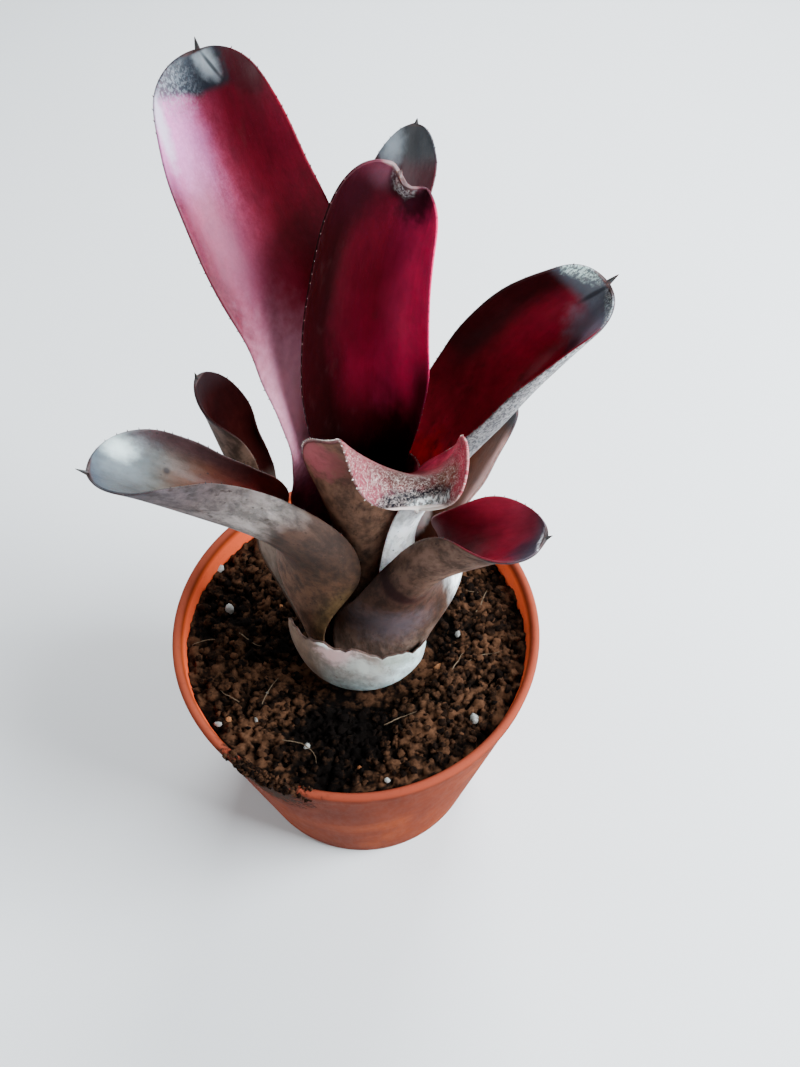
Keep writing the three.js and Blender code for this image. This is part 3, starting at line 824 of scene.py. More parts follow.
@dataclass(frozen=True)
class Habit:
    """Proportions that all leaves share, as in the solids."""

    leaving: float = 88.0
    step: float = 0.5
    turning: float = 0.35
    rolling: float = 0.3
    tilting: tuple[float, float] = (0.55, 1.5)
    opening: tuple[float, float] = (0.35, 1.6)
    widening: tuple[float, float] = (0.35, 0.75)
    flat_tip: float = 0.35
    rounding: float = 2.3
    wavy: tuple[float, float] = (1.2, 1.9)
    still_tip: float = 8.0
    thick: float = 0.45
    edge_thick: float = 0.3
    rounded: float = 0.975


@dataclass(frozen=True)
class Division:
    """How finely the leaves are divided, with rows 0.9 mm apart that crowd together round the tip."""

    columns: int = 44
    foot_rows: int = 12
    row_step: float = 0.9
    tip_rows: int = 46
    tip_crowding: float = 0.87
    spine_rows: int = 9
    torn_rows: int = 60


@dataclass(frozen=True)
class Tooth:
    """Shape of a marginal tooth: flattened rings, by height, half width and mark, that lean to the tip."""

    rings: tuple[tuple[float, float, float], ...] = ((-0.35, 0.34, 0.0), (0.45, 0.17, 0.5), (1.0, 0.02, 0.9))
    sides: int = 5
    lean: float = 0.55
    curve: float = 0.22
    wide: float = 1.15
    thin: float = 0.75


@dataclass
class Leaf:
    """One strap leaf: a sheath wrapped round the stem that opens upwards into a channelled, spiny blade.

    Attributes:
        name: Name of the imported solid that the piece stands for.
        azimuth: Direction in which the leaf leaves the stem.
        ring: Place in the nest of sheaths, 0 is the innermost.
        length: Along the midrib from the stem to the tip.
        width: Of the blade, in its lower and its upper half.
        lean: Of the midrib from the vertical, at equal steps from the sheath to the tip.
        turn: Sideways change of direction, at equal steps.
        roll: Of the blade about its midrib, at equal steps.
        wrap: Half angle that the sheath spans round the stem, at its foot and at its top.
        channel: Half angle of the blade's curved cross-section, at equal steps.
        skew: Curve moved to the left half of the blade from the right one, at equal steps.
        sheath: Length over which the leaf stays wrapped.
        tip: Length of the rounded end.
        finish: Colours.
        curl: Further lean at the end, and the length over which it comes.
        trim: Share cut off the left half, and where that starts, is full, fades and is over.
        hook: How the very tip is drawn in over the inner face: reach, lift, way back, and its place across.
        torn: Height of the tears of an upper edge without a blade, as a share of the length.
        slant: How much lower that edge lies on the left half, as a share of the length.
        tooth: Length of the marginal teeth.
        pitch: Spacing of the teeth, low on the blade and near the tip.
        toothed_from: Share of the length where the teeth begin.
        spine: Length of the end spine.
        ripple: Height of the margins' waves.
        seed: Picks the waves and the teeth.
        nest: How the leaves sit on the stem.
        habit: Proportions that all leaves share.
        division: How finely they are divided.
    """

    name: str
    azimuth: float
    ring: int
    length: float
    width: tuple[float, float]
    lean: tuple[float, ...]
    turn: tuple[float, ...]
    roll: tuple[float, ...]
    wrap: tuple[float, float]
    channel: tuple[float, ...]
    skew: tuple[float, ...]
    sheath: float
    tip: float
    finish: LeafFinish
    curl: tuple[float, float] = (0.0, 1.0)
    trim: tuple[float, float, float, float, float] = (0.0, 0.0, 1.0, 2.0, 3.0)
    hook: tuple[float, float, float, float] = (0.0, 0.0, 0.0, 0.0)
    torn: float = 0.0
    slant: float = 0.0
    tooth: float = 0.42
    pitch: tuple[float, float] = (3.6, 2.0)
    toothed_from: float = 0.34
    spine: float = 3.0
    ripple: float = 0.35
    seed: int = 1
    nest: Nest = Nest()
    habit: Habit = Habit()
    division: Division = Division()

    def body(self, s: Array) -> Array:
        """How far the part past the bend has come, 0 at the bend and 1 at the tip."""
        bend = self.nest.bend(self.ring)
        return clamp((s - bend) / (self.length - bend))

    def sheath_span(self, s: Array, span: tuple[float, float]) -> Array:
        """Rises from 0 to 1 between two places given in sheath lengths."""
        return smooth(s, self.sheath * span[0], self.sheath * span[1])

    def lean_at(self, s: Array) -> Array:
        """Lean in radians, almost level at the stem, then the leaf's own leans, with the curl at the end."""
        curl = self.curl[0] * smooth(s, self.length - self.curl[1], self.length)
        rising = smooth(s, 0, self.nest.bend(self.ring))
        return np.radians(lerp(self.habit.leaving, along(self.lean, self.body(s)) + curl, rising))

    def heading_at(self, s: Array) -> Array:
        """Compass direction of the midrib in radians."""
        u = self.body(s)
        return np.radians(self.azimuth + along(self.turn, u) * smooth(u, 0, self.habit.turning))

    def midrib(self, s: Array) -> Array:
        """Points of the midrib, the running sum of short steps along its direction."""
        steps = round(self.length / self.habit.step)
        step = self.length / steps
        middle = (np.arange(steps) + 0.5) * step
        lean, heading = self.lean_at(middle), self.heading_at(middle)
        way = np.stack([np.cos(heading) * np.sin(lean), np.sin(heading) * np.sin(lean), np.cos(lean)], -1)
        azimuth = math.radians(self.azimuth)
        start = np.array([math.cos(azimuth), math.sin(azimuth), 0.0]) * self.nest.inner(self.ring)
        start = start + [*PLANT_AXIS, self.nest.foot(self.ring)]
        path = np.concatenate([[start], start + np.cumsum(way * step, 0)])
        x = clamp(s / step, 0, steps)
        i = np.minimum(x.astype(int), steps - 1)
        inside = lerp(path[i], path[i + 1], (x - i)[..., None])
        return inside + np.maximum(s - self.length, 0)[..., None] * way[-1]

    def axes(self, s: Array) -> tuple[Array, Array]:
        """Axes of the cross-section, level in the sheath and square to the midrib higher up."""
        heading, u = self.heading_at(s), self.body(s)
        tilt = self.lean_at(s) * self.sheath_span(s, self.habit.tilting)
        roll = (np.radians(along(self.roll, u)) * smooth(u, 0, self.habit.rolling))[..., None]
        side = np.stack([-np.sin(heading), np.cos(heading), 0 * heading], -1)
        level = np.cos(tilt)
        inward = np.stack([-np.cos(heading) * level, -np.sin(heading) * level, np.sin(tilt)], -1)
        return side * np.cos(roll) + inward * np.sin(roll), inward * np.cos(roll) - side * np.sin(roll)

    def profile(self, s: Array) -> Array:
        """The blade's width as a share: full up to the tip's length, then rounded as sqrt(1 - x^2.3)."""
        x = clamp((s - (self.length - self.tip)) / self.tip)
        return np.sqrt(np.maximum(1 - x**self.habit.rounding, 0))

    def kept(self, s: Array, v: Array) -> Array:
        """Share of the cross-section that is left on each side of the midrib."""
        amount, start, full, fading, over = self.trim
        place = s / self.length
        cut = np.where(v > 0, amount, 0.0) * smooth(place, start, full)
        return 1 - cut * (1 - smooth(place, fading, over))

    def middle(self, s: Array, v: Array) -> tuple[Array, Array]:
        """The leaf's middle surface.

        Each cross-section is an arc: in the sheath round the stem, higher up as wide and curved as the blade.
        Past the tip it narrows into the spine.

        Args:
            s: Lengths along the midrib.
            v: Places from margin to margin, -1..1.

        Returns:
            Places in mm, and the width of each section's half.
        """
        s = np.minimum(s * self.edge(v), self.length + self.spine)
        centre = self.midrib(s)
        radius = np.hypot(centre[..., 0] - PLANT_AXIS[0], centre[..., 1] - PLANT_AXIS[1])
        opened = self.sheath_span(s, self.habit.opening)
        u, profile, flat = self.body(s), self.profile(s), self.habit.flat_tip
        wrap = np.radians(lerp(self.wrap[0], self.wrap[1], smooth(s, 0, self.sheath)))
        channel = np.radians(along(self.channel, u)) * (flat + (1 - flat) * profile)
        width = lerp(*self.width, smooth(s / self.length, *self.habit.widening))
        blade = 0.5 * width * profile
        point = 0.5 * clamp((self.length + self.spine - s) / max(self.spine, 0.1)) ** 0.8
        point = point * smooth(s, self.length - 2, self.length)
        half_width = np.hypot(lerp(radius * wrap, blade, opened), point)
        skew = np.radians(along(self.skew, u)) * opened
        angle = np.maximum(lerp(wrap, channel, opened) + np.sign(v) * skew, 0.01)
        kept = self.kept(s, v)
        sweep = angle * np.abs(v) * kept
        across, inward = self.axes(s)
        sideways = (np.sign(v) * half_width * np.sin(sweep) / angle)[..., None]
        inwards = (half_width * (1 - np.cos(sweep)) / angle)[..., None]
        return centre + across * sideways + inward * inwards, half_width * kept

    def edge(self, v: Array) -> Array:
        """Upper edge of a torn sheath, as a share of its length: a ragged sum of sines, low on its left."""
        waves_of_edge = ((0.6, 3, 1.9), (0.22, 13, 0.5), (0.1, 31, 0.0), (0.08, 47, 1.0))
        tears = sum(height * np.sin(count * v + phase) for height, count, phase in waves_of_edge)
        return 1 + self.torn * tears - self.slant * clamp(v)

    def rows(self) -> Array:
        """Lengths of the rows: closer at the bend, close together round the tip, and on into the spine."""
        bend, cut = self.nest.bend(self.ring), self.division
        low = np.linspace(0, bend, cut.foot_rows, endpoint=False)
        if self.torn:
            return np.concatenate([low, np.linspace(bend, self.length / (1 + self.torn), cut.torn_rows)])
        body = np.arange(bend, self.length - self.tip, cut.row_step)
        turn = np.linspace(0.0, math.pi / 2, cut.tip_rows, endpoint=False)
        end = self.length - self.tip * (1 - np.sin(turn) ** cut.tip_crowding)
        past = self.length + self.spine * np.linspace(0, 0.97, cut.spine_rows)
        return np.concatenate([low, body, end, past])

    def surface(self) -> tuple[Array, Array, Array, Array]:
        """The middle surface with its gentle waves, and what is needed to give it thickness.

        Waves lift the blade by a sum of sines that grows towards the margins and fades into the sheath, and
        the tip may hook in over the inner face.

        Returns:
            Points, unit normals towards the inner face, row lengths and places across.
        """
        v = np.sin(np.linspace(-math.pi / 2, math.pi / 2, self.division.columns + 1))
        s = self.rows()
        grid_s, grid_v = np.meshgrid(s, v, indexing="ij")
        points, half_width = self.middle(grid_s, grid_v)
        still = smooth(self.length - grid_s, 0.0, self.habit.still_tip)
        free = self.sheath_span(grid_s, self.habit.wavy) * still
        if self.torn:
            free = 0.5 * smooth(grid_s, self.length * 0.5, self.length)
        lift = 0.25 * waves(grid_s / 34, grid_v * 0.6, self.seed)
        lift = lift + self.ripple * np.abs(grid_v) ** 4 * waves(grid_s / 15, grid_v * 0.5, self.seed + 7)
        points = points + self.normals(points) * (lift * free)[..., None]
        points = self.hooked(points, grid_s, grid_v * half_width)
        return points, self.normals(points), s, v

    def hooked(self, points: Array, s: Array, aside: Array) -> Array:
        """Draws the very tip in over the inner face and back, by an amount that falls off from the tip."""
        reach, lift, back, side = self.hook
        if not reach:
            return points
        away = clamp(np.hypot(aside - side, self.length - s) / reach)
        share = ((1 - away) ** 2 * (1 + 2 * away))[..., None]
        tip = np.array([self.length])
        _, inward = (a[0] for a in self.axes(tip))
        forward = unit(self.midrib(tip + 1)[0] - self.midrib(tip)[0])
        return points + share * (lift * inward - back * forward)

    @staticmethod
    def normals(points: Array) -> Array:
        """Unit normals of a grid, from the outer face towards the inner one."""
        up, sideways = np.gradient(points, axis=0), np.gradient(points, axis=1)
        return unit(np.cross(up, sideways))

    def half_thickness(self, s: Array, v: Array) -> Array:
        """Half the thickness of each grid point: it falls from the midrib to the half round margins."""
        past = clamp((s - self.length) / max(self.spine, 0.1))[:, None]
        start = self.habit.rounded
        rounding = np.sqrt(np.maximum(1 - clamp((np.abs(v) - start) / (1 - start)) ** 2, 0))
        return lerp(self.habit.thick, self.habit.edge_thick, v**2) * rounding * (1 - 0.9 * past)

    def build(self) -> bpy.types.Object:
        """Builds the leaf: a closed ring of points round each cross-section, marginal teeth, and a spine.

        Returns:
            The leaf's object, with its material.
        """
        points, normals, s, v = self.surface()
        _, half_width = self.middle(*np.meshgrid(s, v, indexing="ij"))
        shift = normals * self.half_thickness(s, v)[..., None]
        loop = np.concatenate([points + shift, (points - shift)[:, -2:0:-1]], 1)
        order = np.concatenate([np.arange(len(v)), np.arange(len(v) - 2, 0, -1)])
        facing = np.concatenate([np.ones(len(v)), np.zeros(len(v) - 2)])
        facing[[0, len(v) - 1]] = 0.5
        skin = Skin(self.name + ("_dry" if self.torn else "_living"))
        pointed = 0.0 if self.torn else 1.0
        near_tip = clamp((s - (self.length - 0.9)) / (self.spine + 0.9))[:, None] * pointed
        skin.add(
            loop,
            [ring_faces(*loop.shape[:2]), *self.caps(len(s), len(v))],
            share=(s / self.length)[:, None] + 0 * facing,
            across=v[order],
            inner=facing,
            mm_across=(v * half_width)[:, order],
            mm_along=s[:, None],
            to_tip=np.maximum(self.length - s, 0)[:, None],
            to_margin=((1 - np.abs(v)) * half_width)[:, order],
            spine=near_tip,
        )
        if not self.torn:
            for side in (0, len(v) - 1):
                self.add_teeth(skin, points, s, v, side)
        piece = skin.make(Slot.OLD_SHEATH if self.torn else Slot.LEAF, self.name)
        piece.data.materials.append(self.finish.material(self.name + "_skin"))
        return piece

    @staticmethod
    def caps(rows: int, width: int) -> list[Array]:
        """Faces that close the foot and the end, from the inner edge to the outer one."""
        ring = 2 * width - 2
        inner = np.arange(1, width - 1)
        outer = ring - inner
        foot = np.stack([inner[:-1], inner[1:], outer[1:], outer[:-1]], -1)
        ends = np.array([[0, inner[0], outer[0]], [inner[-1], width - 1, outer[-1]]])
        top = (rows - 1) * ring
        return [foot, ends, foot[:, ::-1] + top, ends[:, ::-1] + top]

    def tooth_places(self, rng: np.random.Generator) -> Array:
        """Places of one margin's teeth, at uneven steps that shorten towards the tip."""
        start, end = self.length * self.toothed_from, self.length - 1.2
        places = [start]
        while places[-1] < end:
            gap = float(lerp(self.pitch[0], self.pitch[1], smooth(places[-1], start, self.length - self.tip)))
            places.append(places[-1] + gap * rng.uniform(0.7, 1.3))
        return np.array(places[:-1])

    def add_teeth(
        self, skin: Skin, points: Array, s: Array, v: Array, side: int, tooth: Tooth = Tooth()
    ) -> None:
        """Adds the teeth of one margin.

        Args:
            skin: The piece being collected.
            points: The middle surface.
            s: Row lengths.
            v: Places across.
            side: Column of the margin.
            tooth: Their shape.
        """
        rng = np.random.default_rng(self.seed * 10 + side)
        at = self.tooth_places(rng)
        start = at[0]
        margin, within = points[:, side], points[:, 3 if side == 0 else side - 3]
        base, next_up, inside = (
            np.stack([np.interp(where, s, line[:, c]) for c in range(3)], -1)
            for where, line in ((at, margin), (at + 0.6, margin), (at, within))
        )
        out, tipward = unit(base - inside), unit(next_up - base)
        size = self.tooth * rng.uniform(0.7, 1.2, len(at)) * smooth(at, start - 8, start + 10)
        axis = unit(out + tooth.lean * tipward)
        sideways = unit(np.cross(out, tipward))
        turn = np.linspace(0, 2 * math.pi, tooth.sides, endpoint=False)
        rings = []
        for height, girth, _ in tooth.rings:
            wide = np.cos(turn)[None, :, None] * unit(np.cross(sideways, axis))[:, None] * girth * tooth.wide
            thin = np.sin(turn)[None, :, None] * sideways[:, None] * girth * tooth.thin
            bow = tipward * (tooth.curve * height**2 * size)[:, None]
            centre = base + axis * (height * size)[:, None] + bow
            rings.append(centre[:, None] + (wide + thin) * size[:, None, None])
        count = len(rings) * tooth.sides
        shift = (np.arange(len(at)) * count)[:, None, None]
        floor = np.arange(tooth.sides)[None]
        top = np.arange(count - 1, count - 1 - tooth.sides, -1)[None]
        level = np.array([mark for _, _, mark in tooth.rings])[None, :, None]
        skin.add(
            np.stack(rings, 1),
            [faces[None] + shift for faces in (ring_faces(len(rings), tooth.sides), floor, top)],
            share=(at / self.length)[:, None, None] + 0 * level,
            across=float(np.sign(v[side])),
            inner=0.5,
            mm_along=at[:, None, None] + 0 * level,
            to_tip=(self.length - at)[:, None, None] + 0 * level,
            spine=0.25 + 0.5 * level + 0 * at[:, None, None],
        )


# ---- Pot and soil ----


@dataclass
class Pot:
    """Thin-walled round pot with a rounded rim, a softened foot and a flat floor with drain holes.

    A small rolled edge stands out below the rim: its two spans are depths below the top between which it
    comes out and mostly goes again.
    """

    height: float = 88.0
    rim_radius: float = 52.5
    base_radius: float = 38.0
    wall: float = 2.4
    floor: float = 2.5
    edge: float = 1.2
    roll: float = 0.25
    roll_starts: tuple[float, float] = (4.2, 3.4)
    roll_ends: tuple[float, float] = (2.0, 1.0)
    corner: float = 0.6
    drains: int = 6
    drain_radius: float = 4.0
    drain_circle: float = 24.0
    sides: int = 240
    finish: PotFinish = PotFinish()

    def outer(self, z: Array | float) -> Array:
        """Outer radius at a height."""
        return lerp(self.base_radius, self.rim_radius, np.asarray(z) / self.height)

    def inner(self, z: Array | float) -> Array:
        """Inner radius at a height."""
        return self.outer(z) - self.wall

    def profile(self) -> Array:
        """Wall profile from the outer foot over the rim to the inner floor.

        The foot is a quarter circle, the wall is straight with a small rolled edge, the rim half an ellipse.
        """
        turn = np.linspace(-math.pi / 2, 0, 7)
        foot = self.base_radius - self.edge + self.edge * np.cos(turn), self.edge + self.edge * np.sin(turn)
        z = np.linspace(self.edge + 1, self.height - self.edge, 40)
        starts, ends = (smooth(self.height - z, *span) for span in (self.roll_starts, self.roll_ends))
        outside = self.outer(z) + self.roll * (starts - 0.6 * ends), z
        turn = np.linspace(0, math.pi, 11)[1:-1]
        half = self.wall / 2
        rim = self.rim_radius - half + half * np.cos(turn), self.height - self.edge + self.edge * np.sin(turn)
        inside = self.inner(z[::-1]), z[::-1]
        low = self.floor + self.corner
        corner = [self.inner(low), self.inner(self.floor) - self.corner], [low, self.floor]
        return np.concatenate([np.stack(part, -1) for part in (foot, outside, rim, inside, corner)])

    def inside(self, profile: Array) -> Array:
        """1 on the inner wall below the rim, 0 outside."""
        within = profile[:, 0] < self.outer(profile[:, 1]) - 0.6 * self.wall
        return within * smooth(self.height - profile[:, 1], 1.0, 3.0)

    def build(self) -> bpy.types.Object:
        """Turns the wall, closes the floor, and cuts the drain holes."""
        profile = self.profile()
        rings = turned(profile[:, None, 0], profile[:, None, 1], full_turn(self.sides))
        ends = np.array([[0, 0, self.floor], [0, 0, 0]], float)
        count = len(profile) * self.sides
        top, foot = np.arange(count - self.sides, count), np.arange(self.sides)
        skin = Skin("pot_shell")
        skin.add(
            np.concatenate([rings.reshape(-1, 3), ends]),
            [
                ring_faces(len(profile), self.sides), fan_faces(top, count, True),
                fan_faces(foot, count + 1, False),
            ],
            inside=np.concatenate([np.repeat(self.inside(profile), self.sides), [1.0, 0.0]]),
        )
        pot = skin.make(Slot.POT, "pot")
        self.cut_drains(pot)
        pot.data.materials.append(self.finish.material())
        pot.data.polygons.foreach_set("use_smooth", [True] * len(pot.data.polygons))
        return pot

    def cut_drains(
        self, pot: bpy.types.Object, sides: int = 32, reach: tuple[float, float] = (-4.0, 6.5)
    ) -> None:
        """Cuts the ring of drain holes through the floor, with many-sided drills that reach past it."""
        drill = Skin("drill")
        low, high = np.arange(sides)[None], np.arange(2 * sides - 1, sides - 1, -1)[None]
        for angle in 2 * math.pi * (np.arange(self.drains) + 0.5) / self.drains:
            middle = [self.drain_circle * math.cos(angle), self.drain_circle * math.sin(angle), 0.0]
            rings = np.stack([turned(self.drain_radius, z, full_turn(sides)) + middle for z in reach])
            drill.add(rings, [ring_faces(2, sides), low, high])
        tool = drill.make(Slot.POT)
        cut = pot.modifiers.new("drains", "BOOLEAN")
        cut.operation, cut.solver, cut.object = "DIFFERENCE", "EXACT", tool
        shape = bpy.data.meshes.new_from_object(pot.evaluated_get(bpy.context.evaluated_depsgraph_get()))
        pot.modifiers.clear()
        pot.data = shape
        bpy.data.objects.remove(tool)


@dataclass
class Soil:
    """Crumbly potting mix that falls to the back of the pot and is pressed level under the plant.

    The surface is level up to the seat's radius and has its own height from the seat's edge. Crumbs sink by
    shares of their radius, and swells are waves given by height, length and number.
    """

    pot: Pot
    level: float = 81.5
    fall: float = 0.075
    seat_level: float = 78.7
    seat_radius: float = 20.0
    seat_edge: float = 27.0
    hole: float = 5.18
    hole_floor: float = 61.7
    gap: float = 0.3
    sectors: int = 420
    circles: int = 130
    lumps: int = 6500
    lump_sink: tuple[float, float] = (-0.6, 0.25)
    lump_power: float = 2.6
    swells: tuple[tuple[float, float, int], ...] = (
        (0.4, 21.0, 7), (0.2, 4.5, 9), (0.12, 1.7, 12), (0.07, 0.8, 12),
    )
    seed: int = 5

    @property
    def bed(self) -> float:
        """Height of its underside."""
        return self.pot.floor + self.gap

    def seated(self, x: Array, y: Array, within: float = 0.0) -> Array:
        """Rises from 0 under the plant to 1 beside it, from a little within the seat if wanted."""
        off = np.hypot(x - PLANT_AXIS[0], y - PLANT_AXIS[1])
        return smooth(off, self.seat_radius - within, self.seat_edge - within)

    def plain(self, x: Array, y: Array) -> Array:
        """Height of the soil before its crumbs."""
        return lerp(self.seat_level, self.level - self.fall * y, self.seated(x, y))

    def roughness(self, x: Array, y: Array) -> Array:
        """Share of the full relief: less under the plant, so that its lowest leaf base stays clear."""
        return lerp(0.25, 1.0, self.seated(x, y, 2.0))

    def relief(self, x: Array, y: Array) -> Array:
        """Crumbs as relief: the highest of many uneven lumps at each place, over hollows and waves.

        A lump of radius r rises by 0.7 r sqrt(1 - (d/r)^2.6), with d in its own turned and narrowed frame.

        Args:
            x: Places, in mm.
            y: Places, in mm.

        Returns:
            Heights in mm.
        """
        rng = np.random.default_rng(self.seed)
        reach, power = self.pot.inner(self.level), self.lump_power
        angle, out = rng.uniform(0, 2 * math.pi, self.lumps), reach * np.sqrt(rng.uniform(0, 1, self.lumps))
        radius = 0.5 + 1.7 * rng.beta(1.1, 3.4, self.lumps)
        sink = rng.uniform(*self.lump_sink, self.lumps)
        turn, slim = rng.uniform(0, math.pi, self.lumps), rng.uniform(1.0, 1.9, self.lumps)
        flat_x, flat_y = x.ravel(), y.ravel()
        top = np.full(flat_x.shape, -0.9)
        order = np.argsort(flat_x)
        sorted_x = flat_x[order]
        for px, py, r, z, a, k in zip(out * np.cos(angle), out * np.sin(angle), radius, sink, turn, slim):
            near = order[np.searchsorted(sorted_x, px - r):np.searchsorted(sorted_x, px + r)]
            dx, dy = flat_x[near] - px, flat_y[near] - py
            long, short = dx * math.cos(a) + dy * math.sin(a), k * (dy * math.cos(a) - dx * math.sin(a))
            away = (np.abs(long) ** power + np.abs(short) ** power) / r**power
            rise = z * r + 0.7 * r * np.sqrt(np.maximum(1 - away, 0)) - np.where(away < 1, 0, 9)
            top[near] = np.maximum(top[near], rise)
        height = top.reshape(x.shape) - 0.15
        for i, (rise, length, count) in enumerate(self.swells):
            height = height + rise * waves(x / length, y / length, self.seed + i, count)
        return height

    def height(self, x: Array, y: Array) -> Array:
        """Height of the soil's surface."""
        return self.plain(x, y) + self.roughness(x, y) * self.relief(x, y)

    def build(self) -> bpy.types.Object:
        """Builds the filling: a round grid for the top, the wall side, the floor and the stem's hole.

        The grid's circles shift from the stem's axis to the pot's as they widen, and the last ones close up
        to the wall.
        """
        turn = full_turn(self.sectors)
        t = np.linspace(0, 1, self.circles)[:, None] ** 0.9
        wall = self.pot.inner(self.level) - self.gap
        x = PLANT_AXIS[0] * (1 - t) + lerp(self.hole, wall, t) * np.cos(turn)
        y = PLANT_AXIS[1] * (1 - t) - lerp(self.hole, wall, t) * np.sin(turn)
        z = self.height(x, y)
        fit = lerp(1.0, (self.pot.inner(z) - 0.06) / np.hypot(x, y), smooth(t, 0.93, 1.0))
        x, y = x * fit, y * fit
        side_z = np.linspace(0, 1, 6)[1:, None] * (self.bed - z[-1:]) + z[-1:]
        side = turned(self.pot.inner(side_z) - self.gap, side_z, turn)
        hole = np.stack([x[0], y[0], np.full(self.sectors, self.hole_floor)], -1)[None]
        rings = np.concatenate([side[::-1], np.stack([x, y, z], -1)[::-1], hole])
        tone = np.zeros(rings.shape[:2])
        # Painted shade: the tone follows the relief, lighter on the crumbs and darker in the hollows between
        # them.
        tone[len(side):-1] = smooth(self.relief(x, y), -0.7, 1.1)[::-1]
        count = rings.shape[0] * self.sectors
        ends = np.array([[0, 0, self.bed], [*PLANT_AXIS, self.hole_floor]])
        skin = Skin("soil_filling")
        skin.add(
            np.concatenate([rings.reshape(-1, 3), ends]),
            [
                ring_faces(len(rings), self.sectors),
                fan_faces(np.arange(self.sectors), count, False),
                fan_faces(np.arange(count - self.sectors, count), count + 1, True),
            ],
            own_tone=np.concatenate([tone.ravel(), [0.0, 0.0]]),
        )
        soil = skin.make(Slot.SOIL, "soil")
        soil.data.materials.append(PEAT.material())
        return soil


@dataclass(frozen=True)
class Scatter:
    """Loose grains lying on the soil: crumbs, perlite, bark."""

    name: str
    count: int
    size: tuple[float, float]
    finish: GrainFinish
    squash: float = 0.7
    bumps: float = 0.3
    places: tuple[tuple[float, float, float], ...] = ()
    keep_off: float = 21.0
    seed: int = 3
    around: int = 8
    levels: int = 5

    def radii(self, rng: np.random.Generator) -> Array:
        """Radii of the grains, more small ones than large ones."""
        return lerp(self.size[0], self.size[1], rng.beta(1.2, 2.4, self.count))

    def spots(self, rng: np.random.Generator, soil: Soil) -> tuple[Array, Array, Array, Array]:
        """Where the grains lie on the soil, and their radii.

        Args:
            rng: Source of the draws.
            soil: The soil that they lie on.

        Returns:
            Their x, y, the height below them, and their radii.
        """
        reach = soil.pot.inner(soil.level) - self.size[1] - 0.6
        angle = rng.uniform(0, 2 * math.pi, self.count)
        out = reach * np.sqrt(rng.uniform(0.02, 1, self.count))
        drawn = out * np.cos(angle), out * np.sin(angle), self.radii(rng)
        fixed = np.array(self.places).reshape(-1, 3)
        x, y, radius = (np.concatenate([fixed[:, i], values]) for i, values in enumerate(drawn))
        keep = np.hypot(x - PLANT_AXIS[0], y - PLANT_AXIS[1]) > self.keep_off
        x, y, radius = x[keep], y[keep], radius[keep]
        return x, y, soil.height(x, y), radius

    def shapes(self, rng: np.random.Generator, count: int) -> Array:
        """Uneven balls of about unit radius: each point swells at random, and all are squashed and turned."""
        polar = np.linspace(0, math.pi, self.levels + 2)[1:-1][:, None]
        ball = turned(np.sin(polar), -np.cos(polar), full_turn(self.around))
        ball = np.concatenate([ball.reshape(-1, 3), [[0, 0, -1], [0, 0, 1]]])
        swell = 1 + self.bumps * np.clip(rng.normal(0, 0.6, (count, len(ball))), -1, 1)
        shape = ball[None] * swell[..., None] * (1 + 0.3 * rng.uniform(-1, 1, (count, 1, 3)))
        spin, tilt = rng.uniform(0, 2 * math.pi, (count, 1)), rng.uniform(-0.6, 0.6, (count, 1))
        x, y, z = shape[..., 0], shape[..., 1], shape[..., 2] * self.squash
        x, z = x * np.cos(tilt) - z * np.sin(tilt), x * np.sin(tilt) + z * np.cos(tilt)
        x, y = x * np.cos(spin) - y * np.sin(spin), x * np.sin(spin) + y * np.cos(spin)
        return np.stack([x, y, z], -1)

    def build(self, soil: Soil) -> bpy.types.Object:
        """Builds the grains as one piece, half sunk in the soil.

        Args:
            soil: The soil that they lie on.

        Returns:
            The piece.
        """
        rng = np.random.default_rng(self.seed)
        x, y, z, radius = self.spots(rng, soil)
        shapes = self.shapes(rng, len(x))
        base = np.stack([x, y, z + radius * self.squash * 0.35], -1)
        count, per = shapes.shape[:2]
        faces = [
            ring_faces(self.levels, self.around),
            fan_faces(np.arange(self.around), per - 2, False),
            fan_faces(np.arange(per - 2 - self.around, per - 2), per - 1, True),
        ]
        shift = (np.arange(count) * per)[:, None, None]
        skin = Skin(self.name)
        skin.add(
            base[:, None] + shapes * radius[:, None, None],
            [group[None] + shift for group in faces],
            own_tone=rng.uniform(0, 1, (count, 1)) + np.zeros((count, per)),
        )
        piece = skin.make(Slot.SOIL)
        piece.data.materials.append(self.finish.material())
        return piece


@dataclass(frozen=True)
class RimScatter(Scatter):
    """Crumbs spilt over the rim at the front left, down the upper part of the outer wall."""

    middle: float = -116.0
    spread: float = 14.0
    drop: float = 5.0

    def spots(self, rng: np.random.Generator, soil: Soil) -> tuple[Array, Array, Array, Array]:
        """Places on the rim and the wall: most on the rim, fewer further down and beside the spill."""
        pot = soil.pot
        angle = np.radians(self.middle + self.spread * np.clip(rng.normal(0, 0.45, self.count), -1, 1))
        way = rng.beta(0.9, 1.7, self.count) * (pot.wall + self.drop)
        radius = self.radii(rng)
        z = pot.height - np.maximum(way - pot.wall, 0)
        out = np.where(way < pot.wall, pot.rim_radius - pot.wall + way, pot.outer(z) + 0.35 * radius)
        return out * np.cos(angle), out * np.sin(angle), z - 0.2 * radius, radius


